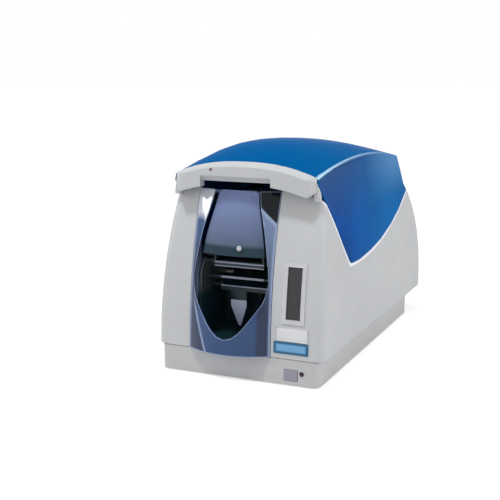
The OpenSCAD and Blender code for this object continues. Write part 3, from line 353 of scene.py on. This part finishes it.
# ---- Rear sockets and switch
# A plated data socket, a black power inlet and a rocker switch in its snap-in frame. All of them
# are fixed in the base's rear wall, under the shell's overhang.
plated, tree, shader, place = new_finish("plated_shell")
swirl = noise(place, scale=220.0, detail=3.0)
fill(tree, shader, {"Base Color": tint(span(swirl, 0, 0.5), paint("#c3c6c9"), paint("#a4a8ac")),
                    "Roughness": span(swirl, 0.22, 0.36), "Metallic": 1.0})
build_up("data_socket", plated, edge=0.0002)

socket_black = moulded("socket_black", "#1b1c1e", "#141516", "#303235",
                       cells=900.0, loss=0.42, relief=0.00004, rubbed=0.25)
build_up("power_inlet", socket_black, edge=0.0002)
build_up("switch_frame", socket_black, edge=0.0003)
rocker_black = moulded("rocker_black", "#151618", "#101112", "#2a2c2f",
                       cells=600.0, loss=0.3, relief=0.00002, rubbed=0.3)
build_up("power_rocker", rocker_black, edge=0.0004)

# ---- Side frames
# Two upright frames of zinc-plated sheet steel that carry the card path. Folded angles fix them to
# the base's floor, and turned steel ties join them.
rolled_metal, takes, gives = effect(
    "rolled_metal", {"Place": "Vector", "Colour": "Color", "Shade": "Color", "Along": "Vector"},
    {"Colour": "Color", "Roughness": "Float", "Height": "Float"})
drawn = put(rolled_metal, "ShaderNodeVectorMath", {0: takes["Place"], 1: takes["Along"]},
            operation="MULTIPLY")
lines = noise(drawn.outputs[0], scale=1.0, detail=3.0)
bloom = put(rolled_metal, "ShaderNodeTexVoronoi", {"Vector": takes["Place"], "Scale": 130.0})
fill(rolled_metal, gives, {
    "Colour": tint(span(lines, 0, 0.6), takes["Colour"], takes["Shade"]),
    "Roughness": maths("ADD", span(bloom.outputs["Distance"], 0, 0.1, 0, 1), span(lines, 0.28, 0.42)),
    "Height": lines})


def rolled(name, colour, shade, along):
    """Metal with fine lines drawn along one direction."""
    finish, tree, shader, place = new_finish(name)
    metal = put(tree, "ShaderNodeGroup", {"Place": place, "Colour": paint(colour), "Shade": paint(shade),
                                          "Along": along}, node_tree=rolled_metal).outputs
    fill(tree, shader, {"Base Color": metal["Colour"], "Roughness": metal["Roughness"],
                        "Normal": bump(metal["Height"], 0.00002), "Metallic": 0.92})
    return finish


frame_zinc = rolled("frame_zinc", "#9fa3a6", "#8b8f93", (900, 40, 900))
shaft_steel = rolled("shaft_steel", "#c2c5c8", "#a9adb1", (60, 1500, 1500))
for node in ("chassis_left", "chassis_right", "frame_angles"):
    build_up(node, frame_zinc, edge=0.0002)
build_up("cross_ties", shaft_steel, edge=0.0002)

# ---- Card path rollers
# Ground rubber sleeves bonded to steel shafts, with moulded pulleys on the shaft ends, and plain
# plastic or tacky blue rollers above them.
ROLLER_MIDDLE = -0.00975
SLEEVE_HALF = 0.0301
PICK_HALF = 0.0181
EXIT_HALF = 0.0242
LEFT_PULLEYS = -0.0572
RIGHT_PULLEYS = 0.0366
sleeve_rubber = moulded("sleeve_rubber", "#313335", "#27292b", "#45484a",
                        cells=1800.0, loss=0.75, relief=0.00005, rubbed=0.15, shine=0.3)
pulley_plastic = moulded("pulley_plastic", "#55595c", "#4a4d50", "#6d7174",
                         cells=900.0, loss=0.45, relief=0.00003, rubbed=0.25)
tacky_blue = moulded("tacky_blue", "#3f73ad", "#36679f", "#5b8cc0",
                     cells=500.0, loss=0.25, relief=0.00002, rubbed=0.1)
pinch_grey = moulded("pinch_grey", "#b8bbbe", "#a9acb0", "#d0d2d4",
                     cells=800.0, loss=0.4, relief=0.00003, rubbed=0.15)


def within(reach):
    """Faces no further than this from the middle of the card path."""
    return lambda c: abs(c.x - ROLLER_MIDDLE) < reach


def beyond(left, right=math.inf):
    """Faces on the pulleys outside the side frames."""
    return lambda c: c.x < left or c.x > right


for node in ("feed_roller", "platen_roller", "back_roller"):
    build_up(node, shaft_steel, edge=0.0002,
             zones=((sleeve_rubber, within(SLEEVE_HALF)),
                    (pulley_plastic, beyond(LEFT_PULLEYS, RIGHT_PULLEYS))))
build_up("pick_roller", shaft_steel, edge=0.0002, zones=((sleeve_rubber, within(PICK_HALF)),))
build_up("exit_roller", shaft_steel, edge=0.0002,
         zones=((sleeve_rubber, within(EXIT_HALF)), (pulley_plastic, beyond(LEFT_PULLEYS))))
for node, roll in (("feed_pinch", pinch_grey), ("back_pinch", pinch_grey), ("exit_pinch", pinch_grey),
                   ("clean_roller", tacky_blue)):
    build_up(node, shaft_steel, edge=0.0002, zones=((roll, within(SLEEVE_HALF)),))

# ---- Motors, pulleys and belts
# Two stepper motors with black bodies and bright end bells, a small bright motor that winds the
# ribbon up, a turned aluminium pulley and two rubber belts.
END_BELL = 0.006
motor_black = moulded("motor_black", "#2b2d30", "#222427", "#4a4d51",
                      cells=1200.0, loss=0.45, relief=0.00003, rubbed=0.3)
for node in ("drive_motor", "pick_motor"):
    low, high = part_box(node)
    build_up(node, can_silver, edge=0.0005,
             zones=((motor_black, lambda c, a=low.x + END_BELL, b=high.x - END_BELL: a < c.x < b),))
build_up("take_motor", can_silver, edge=0.0005)
turned_alu = rolled("turned_alu", "#c9ccce", "#b3b6b9", (60, 900, 900))
build_up("motor_pulley", turned_alu, edge=0.0002)
belt_rubber = moulded("belt_rubber", "#1c1d1e", "#151617", "#2e2f31",
                      cells=1500.0, loss=0.8, relief=0.00008, rubbed=0.1, shine=0.3)
for node in ("drive_belt", "exit_belt"):
    build_up(node, belt_rubber, edge=0.0002)

# ---- Hoppers and chute
# The dark inner mouldings that guide the cards: the bin for finished cards below, the stack of
# blank cards above, its spring weight, the sloping chute and the diverting gate between them.
# Thin painted highlights run along the front lips of the tray and the chute: below the first height, and in a
# thin band above the second.
TRAY_GLINTS = (0.121, 0.124)
TRAY_FRONT = 0.0008
TRAY_TOP = 0.14
CHUTE_GLINTS = (0.05, 0.0938)
CHUTE_FRONT = 0.0006
GLINT_TALL = 0.0014
GLINT_BLUR = 0.0002


def hopper_moulding(name):
    """The dark moulding's finish."""
    return moulded(name, "#15323b", "#0f2730", "#2a4750",
                   cells=1000.0, loss=0.42, relief=0.00005, rubbed=0.25)


def colour_and_height(finish):
    """The socket that gives a finish its colour, and one that gives the height over the table."""
    tree = finish.node_tree
    place = put(tree, "ShaderNodeTexCoord").outputs["Object"]
    colour = tree.nodes["Principled BSDF"].inputs["Base Color"].links[0].from_socket
    return colour, put(tree, "ShaderNodeSeparateXYZ", {"Vector": place}).outputs["Z"]


def recolour(finish, colour):
    """Gives a finish its colour from another socket."""
    fill(finish.node_tree, finish.node_tree.nodes["Principled BSDF"], {"Base Color": colour})
    return finish


def glinted(name, low, high, pale="#a9b0c4"):
    """The dark moulding with a painted pale highlight below one height and in a thin band above another."""
    finish = hopper_moulding(name)
    colour, height = colour_and_height(finish)
    under = span(height, 1, 0, low - GLINT_BLUR, low + GLINT_BLUR)
    over = maths("MULTIPLY", span(height, 0, 1, high - GLINT_BLUR, high + GLINT_BLUR),
                 span(height, 1, 0, high + GLINT_TALL - GLINT_BLUR, high + GLINT_TALL + GLINT_BLUR))
    return recolour(finish, tint(maths("MAXIMUM", under, over), colour, paint(pale)))


hopper_black = hopper_moulding("hopper_black")
build_up("output_hopper", hopper_black, edge=0.0004)
tray_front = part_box("input_hopper")[0].y + TRAY_FRONT
build_up("input_hopper", hopper_black, edge=0.0004,
         zones=((glinted("tray_lip_glint", *TRAY_GLINTS), lambda c: c.y < tray_front and c.z < TRAY_TOP),))
chute_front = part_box("exit_chute")[0].y + CHUTE_FRONT
build_up("exit_chute", hopper_black, edge=0.0003,
         zones=((glinted("chute_lip_glint", *CHUTE_GLINTS), lambda c: c.y < chute_front),))
gate_grey = moulded("gate_grey", "#3d4246", "#33383b", "#565c60",
                    cells=900.0, loss=0.45, relief=0.00003, rubbed=0.25)
build_up("divert_gate", gate_grey, edge=0.0002)
build_up("card_weight", gate_grey, edge=0.0004)


BLOCK_CORNER = math.radians(40)


def shaped(name, finish, ride, edge):
    """Names a piece just modelled, eases its edges and fixes it to a body."""
    bpy.ops.object.mode_set(mode="OBJECT")
    piece = bpy.context.object
    piece.name = name
    bake_in(piece, "BEVEL", width=edge, segments=2, limit_method="ANGLE", angle_limit=BLOCK_CORNER)
    piece.data.materials.append(finish)
    pick(piece)
    bpy.ops.object.shade_smooth_by_angle(angle=BLOCK_CORNER)
    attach(piece, ride)
    return piece


def block(wide, deep, tall):
    """A block round the origin, left in edit mode for more shaping."""
    bpy.ops.object.select_all(action="DESELECT")
    bpy.ops.mesh.primitive_cube_add(size=1)
    bpy.ops.object.mode_set(mode="EDIT")
    bpy.ops.mesh.select_all(action="SELECT")
    bpy.ops.transform.resize(value=(wide, deep, tall))
    return bpy.context.object


def choose(piece, holds):
    """Selects the points that pass a test."""
    bpy.ops.mesh.select_mode(type="VERT")
    bpy.ops.mesh.select_all(action="DESELECT")
    bpy.ops.object.mode_set(mode="OBJECT")
    for point in piece.data.vertices:
        point.select = holds(point.co)
    bpy.ops.object.mode_set(mode="EDIT")


def move_all(way):
    """Moves the whole piece that is in edit mode."""
    bpy.ops.mesh.select_all(action="SELECT")
    bpy.ops.transform.translate(value=way)


# A thin guide strip crosses from frame to frame between the tray and the chute. Part of its length
# is painted pale, a painted highlight.
STRIP_HALF = 0.026
STRIP_DEEP = 0.0016
STRIP_TALL = 0.0026
STRIP_PLACE = (ROLLER_MIDDLE, -0.166, 0.106)
GLINT_MIDDLE = -0.0155
strip = block(STRIP_HALF * 2, STRIP_DEEP, STRIP_TALL)
for reach in (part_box("chassis_right")[0].x - ROLLER_MIDDLE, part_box("chassis_left")[1].x - ROLLER_MIDDLE):
    choose(strip, lambda co, way=math.copysign(1, reach): co.x * way > STRIP_HALF * 0.99)
    bpy.ops.mesh.extrude_region_move(
        TRANSFORM_OT_translate={"value": (reach - math.copysign(STRIP_HALF, reach), 0, 0)})
move_all(STRIP_PLACE)
# The colour of the strip's painted highlight.
strip_glint = moulded("strip_glint", "#a9b0c4", "#9aa1b5", "#c4cad9",
                       cells=700.0, loss=0.35, relief=0.00002, rubbed=0.1)
paint_zones(shaped("guide_strip", hopper_black, "body", edge=0.0004), hopper_black,
            ((strip_glint, lambda c: abs(c.x - GLINT_MIDDLE) < STRIP_HALF),))

# A leaf hangs under the chute's lip, where a patch of light falls through the opening, and that patch
# is painted on it in pale lilac below a set height. It is straight at first, then leans a little and
# narrows to a tip.
LEAF_WIDE = 0.0195
LEAF_THICK = 0.0008
LEAF_HEAD = 0.0175
LEAF_TAPER = 0.0225
LEAF_LEAN = 0.0013
LEAF_TIP = 0.14
LEAF_PALE = 0.0786
LEAF_PLACE = (-0.0176, -0.1587, 0.0804)
leaf = block(LEAF_WIDE, LEAF_THICK, LEAF_HEAD)
choose(leaf, lambda co: co.z < 0)
bpy.ops.mesh.extrude_region_move(TRANSFORM_OT_translate={"value": (LEAF_LEAN, 0, -LEAF_TAPER)})
bpy.ops.transform.resize(value=(LEAF_TIP, 1, 1), center_override=(LEAF_LEAN, 0, -LEAF_HEAD / 2 - LEAF_TAPER))
move_all(LEAF_PLACE)
leaf_light_patch = glinted("leaf_light_patch", low=LEAF_PALE, high=1.0, pale="#d5dcf5")
shaped("light_patch_leaf", leaf_light_patch, "body", edge=0.0002)

# ---- Print head and ribbon
# The thermal head hangs under a steel arm over the platen. The colour ribbon runs under it, from
# the rear spool to the front one.
CERAMIC_TALL = 0.0052
RIBBON_PANELS = 22.0
WOUND_HALF = 0.0292
head_ceramic = moulded("head_ceramic", "#5a5e62", "#4d5155", "#7a7e82",
                       cells=800.0, loss=0.3, relief=0.00002, rubbed=0.2)
fin_alu = rolled("fin_alu", "#b9bcbf", "#a3a6aa", (60, 900, 900))
ceramic_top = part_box("print_head")[0].z + CERAMIC_TALL
build_up("print_head", fin_alu, edge=0.0002, zones=((head_ceramic, lambda c: c.z < ceramic_top),))
build_up("head_arm", frame_zinc, edge=0.0002)

# The film's colours follow each other in panels: yellow, magenta, blue and black.
film, tree, shader, place = new_finish("ribbon_film")
height = put(tree, "ShaderNodeSeparateXYZ", {"Vector": place}).outputs["Z"]
panels = put(tree, "ShaderNodeValToRGB", {"Fac": maths("FRACT", maths("MULTIPLY", height, RIBBON_PANELS))})
panels.color_ramp.interpolation = "CONSTANT"
panels.color_ramp.elements[0].color = paint("#b8a51c")
panels.color_ramp.elements[1].position = 0.25
panels.color_ramp.elements[1].color = paint("#8c1a55")
for start, code in ((0.5, "#0f5c94"), (0.75, "#16171c")):
    panels.color_ramp.elements.new(start).color = paint(code)
fill(tree, shader, {"Base Color": panels.outputs["Color"], "Roughness": 0.22, "Coat Weight": 0.4})
build_up("ribbon_film", film, edge=0)

wound_film = moulded("wound_film", "#14161d", "#0d0f15", "#262a35",
                     cells=300.0, loss=0.22, relief=0.00001, rubbed=0.1)
spool_grey = moulded("spool_grey", "#4d5257", "#43474c", "#666b70",
                     cells=900.0, loss=0.42, relief=0.00003, rubbed=0.2)
for node in ("supply_spool", "take_spool"):
    build_up(node, spool_grey, edge=0.0002, zones=((wound_film, within(WOUND_HALF)),))

# ---- Fan
# A small square fan behind the rear slots. Its frame and its rotor are moulded in black
# glass-filled nylon.
fan_black = moulded("fan_black", "#1e1f21", "#17181a", "#34363a",
                    cells=800.0, loss=0.5, relief=0.00004, rubbed=0.2)
build_up("fan_frame", fan_black, edge=0.0003)
build_up("fan_rotor", fan_black, edge=0.0002)


# ---- Housing
# One large shell in grey plastic like the base's, with the display's frame, window, button and
# lamp on its front right. The cover's edge shows as a pale cut line along its side.
def shell_moulding(name):
    """The shell's grey plastic."""
    return moulded(name, "#c0c2c4", "#b5b7ba", "#dcdddf", shine=0.35)


def marking(name, **more):
    """A shader group that paints marks over a body colour, with the surface's own axes."""
    group, takes, gives = effect(name, {"Place": "Vector", "Body": "Color", "Light": "Color"},
                                 {"Colour": "Color"} | more)
    return group, takes, gives, put(group, "ShaderNodeSeparateXYZ", {"Vector": takes["Place"]}).outputs


def overlay(finish, group, light):
    """Paints a group's marks over a finish's base colour."""
    tree = finish.node_tree
    shader = tree.nodes["Principled BSDF"]
    body = shader.inputs["Base Color"].links[0].from_socket
    place = put(tree, "ShaderNodeTexCoord").outputs["Object"]
    marks = put(tree, "ShaderNodeGroup", {"Place": place, "Body": body, "Light": paint(light)},
                node_tree=group).outputs
    fill(tree, shader, {"Base Color": marks["Colour"]})
    if "Coat" in marks:
        fill(tree, shader, {"Coat Weight": marks["Coat"]})
    return finish


# The pale line where the shell's cut edge catches the light: straight down the front, then rising
# in a long shallow curve to the rear. A pair of lengths says where a tone starts to change and
# where it has changed.
CUT_FRONT = (-0.1862, 0.2219)
CUT_LEAN = (0.776, 0.631)
CUT_LOW = (-0.0765, 0.118)
CUT_CURVE = 0.975
CUT_WIDE = (0.00154, 0.00264)
FRONT_SHARE = 0.6
SIDE_WALL = (0.084, 0.086)
cut_line, takes, gives, at = marking("cut_line")
forward = maths("MULTIPLY", maths("SUBTRACT", CUT_FRONT[0], at["Y"]), CUT_LEAN[0])
downward = maths("MULTIPLY", maths("SUBTRACT", CUT_FRONT[1], at["Z"]), CUT_LEAN[1])
ahead = maths("MULTIPLY", maths("ADD", forward, downward), FRONT_SHARE)
curve = maths("POWER", maths("SUBTRACT", at["Y"], CUT_LOW[0]), 2.0)
below = maths("SUBTRACT", maths("MULTIPLY_ADD", curve, 1 / CUT_CURVE, CUT_LOW[1]), at["Z"])
line = span(maths("MAXIMUM", ahead, below), 1, 0, *CUT_WIDE)
line = maths("MULTIPLY", line, span(maths("ABSOLUTE", at["X"]), 0, 1, *SIDE_WALL))
fill(cut_line, gives, {"Colour": tint(line, takes["Body"], takes["Light"])})
housing_plastic = overlay(shell_moulding("housing_plastic"), cut_line, "#eef0fb")
build_up("housing", housing_plastic, edge=0.0009, join=0.0003, clamp=False)
trim_plastic = moulded("trim_plastic", "#c0c1c4", "#b4b5b9", "#d8d9db")
build_up("display_frame", trim_plastic, edge=0)


def tinted(name, colour, shade, clear, loss, shine=0.5, bend=1.49):
    """Clear plastic with a body colour and a faint flow pattern."""
    finish, tree, shader, place = new_finish(name)
    grain = grained(place, colour, shade, 120.0, loss)
    fill(tree, shader, {"Base Color": grain["Colour"], "Roughness": grain["Roughness"],
                        "Normal": bump(grain["Height"], 0.000004, 0.4), "Transmission Weight": clear,
                        "Specular IOR Level": shine, "IOR": bend})
    return finish


display_smoke = tinted("display_smoke", "#3b3c3f", "#333438", clear=0.3, loss=0.25)
build_up("display_window", display_smoke, edge=0)
button_plastic = moulded("button_plastic", "#948f9f", "#898494", "#aaa6b4",
                         cells=900.0, loss=0.4, relief=0.00003, rubbed=0.3)
build_up("user_button", button_plastic, edge=0.0004)
lamp_red = tinted("lamp_red", "#4d3035", "#43282d", clear=0.5, loss=0.12)
build_up("status_lamp", lamp_red, edge=0.0003)

# ---- Plates
# Two bare plates, one white and one blue, stuck to the shell under the display. Both lean back
# with the shell's front, which bends back in an arc above its foot.
FRONT_FACE = -0.2015
FRONT_BEND = 0.52
FRONT_FOOT = 0.03
PLATE_THICK = 0.0005
PLATE_CORNER = 0.0012
PLATE_PROUD = 0.4
SAME_PLACE = 1e-6
UPPER_MIDDLE = (0.064, 0.0578)
UPPER_SIZE = (0.036, 0.0155)
LOWER_MIDDLE = (0.063, 0.0424)
LOWER_SIZE = (0.04, 0.0133)
FIELD_WIDE = (0.0162, 0.0176)
FIELD_TALL = (0.0032, 0.0046)


def near(value, middle, full, none, most=1):
    """A mask that is full close to a middle value and fades to nothing further away."""
    return span(maths("ABSOLUTE", maths("SUBTRACT", value, middle)), most, 0, full, none)


def stick_plate(name, finish, middle, wide, tall):
    """A thin plate with round corners, laid on the shell's leaning front."""
    piece = block(wide, PLATE_THICK, tall)
    bpy.ops.mesh.select_all(action="DESELECT")
    bpy.ops.object.mode_set(mode="OBJECT")
    for edge in piece.data.edges:
        ends = [piece.data.vertices[i].co for i in edge.vertices]
        edge.select = max(abs(ends[0].x - ends[1].x), abs(ends[0].z - ends[1].z)) < SAME_PLACE
    bpy.ops.object.mode_set(mode="EDIT")
    bpy.ops.mesh.select_mode(type="EDGE")
    bpy.ops.mesh.bevel(offset=PLATE_CORNER, segments=4)
    bpy.ops.mesh.select_all(action="SELECT")
    rise = middle[1] - FRONT_FOOT
    lean = math.asin(rise / FRONT_BEND)
    bpy.ops.transform.rotate(value=lean, orient_axis="X", center_override=(0, 0, 0))
    face_y = FRONT_FACE + FRONT_BEND - math.sqrt(FRONT_BEND ** 2 - rise ** 2)
    bpy.ops.transform.translate(value=(middle[0], face_y - PLATE_THICK * PLATE_PROUD, middle[1]))
    shaped(name, finish, "body", edge=0.0001)


plate_white = moulded("plate_white", "#d9dadd", "#cfd0d4", "#e6e6e8",
                      cells=500.0, loss=0.35, relief=0.00001, rubbed=0.1)
stick_plate("upper_plate", plate_white, UPPER_MIDDLE, *UPPER_SIZE)

# The blue plate has a paler field inside a darker border.
plate_blue = moulded("plate_blue", "#1f6288", "#1a5678", "#4b87ab",
                     cells=500.0, loss=0.35, relief=0.00001, rubbed=0.1)
plate_border, takes, gives, at = marking("plate_border")
field = maths("MULTIPLY", near(at["X"], LOWER_MIDDLE[0], *FIELD_WIDE),
              near(at["Z"], LOWER_MIDDLE[1], *FIELD_TALL))
fill(plate_border, gives, {"Colour": tint(field, takes["Body"], takes["Light"])})
stick_plate("lower_plate", overlay(plate_blue, plate_border, "#6ba3cf"), LOWER_MIDDLE, *LOWER_SIZE)

# ---- Front opening
# A bowed translucent blue bezel frames the card hoppers. A smoked cover with a screw knob hangs in
# it on a pivot.
bezel_low, bezel_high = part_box("front_bezel")
bezel_blue = tinted("bezel_blue", "#2a5288", "#224a7e", clear=0.3, loss=0.11, shine=0.15)
bezel_painted_light, takes, gives, at = marking("bezel_painted_light", Coat="Float")


def repaint(piece, finish, holds):
    """Gives a second finish to the faces that pass a test."""
    piece.data.materials.append(finish)
    for face in piece.data.polygons:
        if holds(face):
            face.material_index = 1


# Painted shade: the bezel's lower left leg is painted dark to the left of a leaning line, and so is
# the outer strip above it. A dark band of painted shade stands in the right leg.
LEG_SLOPE = 0.3418
LEG_EDGE = (-0.0262, -0.0245)
LEG_TOP = (0.072, 0.095)
LEFT_SIDE = (-0.035, -0.03)
SHIN_FOOT = (0.07, 0.09)
SHIN_TOP = (0.125, 0.16)
BAND_MIDDLE = 0.0312
BAND_HALF = (0.004, 0.0072)
BAND_TOP = (0.12, 0.16)
lean = maths("MULTIPLY_ADD", at["Z"], LEG_SLOPE, at["X"])
low_part = span(at["Z"], 1, 0, *LEG_TOP)
leg = maths("MULTIPLY", span(lean, 0.7, 0, *LEG_EDGE), low_part)
shin = maths("MULTIPLY", span(at["Z"], 1, 0, *SHIN_TOP), span(at["Z"], 0, 1, *SHIN_FOOT))
shin = maths("MULTIPLY", span(at["X"], 0.7, 0, *LEFT_SIDE), shin)
band = maths("MULTIPLY", near(at["X"], BAND_MIDDLE, *BAND_HALF, 0.72), span(at["Z"], 1, 0, *BAND_TOP))
dark = maths("MAXIMUM", maths("MAXIMUM", leg, shin), band)
toned = tint(dark, takes["Body"], paint("#0c1a3c"))

# Painted highlights and reflections: the bezel's outer edges are painted pale, and so is its foot over
# half that width. So are the right wing towards its top, and a streak beside the dark leg.
RIM_WIDE = (0.0012, 0.003)
RIM_TO_FOOT = 2.0
WING_SLOPE = 0.94
WING_RISE = (0.11, 0.206)
WING_TOP = (0.2035, 0.207)
RIGHT_SIDE = (0.0, 0.01)
STREAK_MIDDLE = -0.0229
STREAK_HALF = (0.0008, 0.002)
aside = maths("MINIMUM", maths("SUBTRACT", at["X"], bezel_low.x), maths("SUBTRACT", bezel_high.x, at["X"]))
foot = maths("MULTIPLY", maths("SUBTRACT", at["Z"], bezel_low.z), RIM_TO_FOOT)
toned = tint(span(maths("MINIMUM", aside, foot), 0.8, 0, *RIM_WIDE), toned, takes["Light"])
slant = maths("MULTIPLY_ADD", at["X"], WING_SLOPE, at["Z"])
pale = maths("MULTIPLY", span(slant, 0, 0.5, *WING_RISE), span(at["X"], 0, 1, *RIGHT_SIDE))
pale = maths("ADD", pale, span(slant, 0, 0.4, *WING_TOP))
streak = maths("MULTIPLY", near(lean, STREAK_MIDDLE, *STREAK_HALF, 0.75), low_part)
toned = tint(maths("MAXIMUM", pale, streak), toned, takes["Light"])

# A painted highlight makes the left wing's top almost white. Painted shade makes the right wing's
# corner dark above a slanted line, and it is less shiny there.
WHITE_TOP = (0.173, 0.182)
SHADE_LINE = (0.2085, 0.2105)
bright = maths("MULTIPLY", span(at["Z"], 0, 0.9, *WHITE_TOP), span(at["X"], 1, 0, *LEFT_SIDE))
toned = tint(bright, toned, paint("#eef3fb"))
toned = tint(span(slant, 0, 1, *SHADE_LINE), toned, paint("#060d18"))
fill(bezel_painted_light, gives, {"Colour": toned, "Coat": span(slant, 0.65, 0, *SHADE_LINE)})


EDGE_WIDE = 0.0009


def narrow(bezel, face):
    """Whether a face is one of the strips round the bezel's edges."""
    corners = [bezel.data.vertices[i].co for i in face.vertices]
    longest = max((a - b).length for a, b in zip(corners, corners[1:] + corners[:1]))
    return len(corners) == 4 and face.area < EDGE_WIDE * longest


overlay(bezel_blue, bezel_painted_light, "#a9bce0")
bezel = build_up("front_bezel", bezel_blue, edge=0.0005, join=0.0008, clamp=False)
# The narrow strips round the bezel's edges are painted pale, a painted highlight.
rim_highlight = tinted("rim_highlight", "#a9bce0", "#9db1d8", clear=0.2, loss=0.08)
repaint(bezel, rim_highlight, lambda face: narrow(bezel, face))

# The smoked cover pales towards its top and has a dark band along its lower edge.
SMOKE_BAND = (0.1455, 0.1495)
SMOKE_RISE = (0.15, 0.2)
cover_smoke = tinted("cover_smoke", "#64728c", "#5b6982", clear=0.2, loss=0.18, shine=0.2, bend=1.3)
colour, height = colour_and_height(cover_smoke)
colour = tint(span(height, 0, 0.8, *SMOKE_RISE), colour, paint("#8f9fd2"))
recolour(cover_smoke, tint(span(height, 1, 0, *SMOKE_BAND), colour, paint("#2f4450")))
build_up("hopper_cover", cover_smoke, edge=0.0004)
build_up("cover_catch", turned_alu, edge=0.0003)

# ---- Cover
# The large hinged cover, translucent blue, with a grey hood bonded along its front edge. Steel
# pins hold it at the back.
build_up("hinge_pins", shaft_steel, edge=0.0001)

# A painted highlight, a pale line, runs along the ridge between the cover's top and its sides, an arc
# seen from the side.
SIDEWAYS = 0.85
RIDGE_ARC = 0.98
RIDGE_TOP = 0.236
RIDGE_MIDDLE = -0.0275
RIDGE_HALF = (0.0008, 0.0016)
RIDGE_SIDE = (0.079, 0.081)
RIDGE_FADE = (-0.16, 0.08)
ridge_highlight, takes, gives, at = marking("ridge_highlight")
fore = maths("POWER", maths("SUBTRACT", at["Y"], RIDGE_MIDDLE), 2.0)
rise = maths("POWER", maths("SUBTRACT", at["Z"], RIDGE_TOP - RIDGE_ARC), 2.0)
line = near(maths("SQRT", maths("ADD", fore, rise)), RIDGE_ARC, *RIDGE_HALF)
line = maths("MULTIPLY", line, span(maths("ABSOLUTE", at["X"]), 0, 1, *RIDGE_SIDE))
line = maths("MULTIPLY", line, span(at["Y"], 1, 0.25, *RIDGE_FADE))
fill(ridge_highlight, gives, {"Colour": tint(line, takes["Body"], takes["Light"])})


def cover_moulding(name, colour, shade, shine):
    """The cover's blue plastic with its painted highlight along the ridge."""
    blue = tinted(name, colour, shade, clear=0.1, loss=0.16, shine=shine, bend=1.1)
    return overlay(blue, ridge_highlight, "#b4d8f2")


# The cover's sides are a deeper blue. Painted reflections make them brighter towards the rear, greyer
# at the upper front and paler at the upper rear.
BRIGHT_REAR = (-0.13, 0.05)
GREY_TALL = (0.16, 0.225)
GREY_FRONT = (-0.15, 0.02)
PALE_TALL = (0.175, 0.215)
PALE_REAR = (-0.02, 0.1)
side_reflections, takes, gives, at = marking("side_reflections")
reflected = tint(span(at["Y"], 0, 0.6, *BRIGHT_REAR), takes["Body"], paint("#1a78b4"))
upper_front = maths("MULTIPLY", span(at["Z"], 0, 0.75, *GREY_TALL), span(at["Y"], 1, 0.45, *GREY_FRONT))
reflected = tint(upper_front, reflected, takes["Light"])
upper_rear = maths("MULTIPLY", span(at["Z"], 0, 0.6, *PALE_TALL), span(at["Y"], 0, 1, *PALE_REAR))
fill(side_reflections, gives, {"Colour": tint(upper_rear, reflected, paint("#6c9fd0"))})

cover_blue = cover_moulding("cover_blue", "#005f9f", "#005897", shine=0.001)
side_blue = cover_moulding("side_blue", "#1c5cb6", "#1d3566", shine=0.01)
overlay(side_blue, side_reflections, "#3d5c86")
cover = build_up("lid", cover_blue, edge=0.0009, join=0.0003, clamp=False)
repaint(cover, side_blue, lambda face: abs(face.normal.x) > SIDEWAYS)
shell_plastic = shell_moulding("shell_plastic")
build_up("lid_hood", shell_plastic, edge=0.0006)

# Two lugs close the hood's ends round the cover's front corners.
LUG_SIZE = (0.0075, 0.0067, 0.0195)
LUG_PLACE = (0.08305, -0.17715, 0.20925)
LUG_CUT = 0.0022
for side, name in ((-1, "hood_lug_left"), (1, "hood_lug_right")):
    choose(block(*LUG_SIZE), lambda co: co.z > 0 and co.x * side > 0)
    bpy.ops.transform.translate(value=(-side * LUG_CUT, 0, 0))
    move_all((side * LUG_PLACE[0], *LUG_PLACE[1:]))
    shaped(name, shell_plastic, "cover", edge=0.0012)

# A small dark red plug sits in the hood's front, near its left end.
PLUG_RADIUS = 0.0015
PLUG_DEEP = 0.0012
PLUG_PLACE = (-0.036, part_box("lid_hood")[0].y + 0.0001, 0.23)
plug_red = moulded("plug_red", "#6e4646", "#603b3b", "#87605f",
                   cells=600.0, loss=0.35, relief=0.00001, rubbed=0.1)
bpy.ops.object.select_all(action="DESELECT")
bpy.ops.mesh.primitive_cylinder_add(vertices=24, radius=PLUG_RADIUS, depth=PLUG_DEEP)
bpy.ops.object.mode_set(mode="EDIT")
bpy.ops.mesh.select_all(action="SELECT")
bpy.ops.transform.rotate(value=math.pi / 2, orient_axis="X", center_override=(0, 0, 0))
move_all(PLUG_PLACE)
shaped("hood_plug", plug_red, "cover", edge=0.0003)
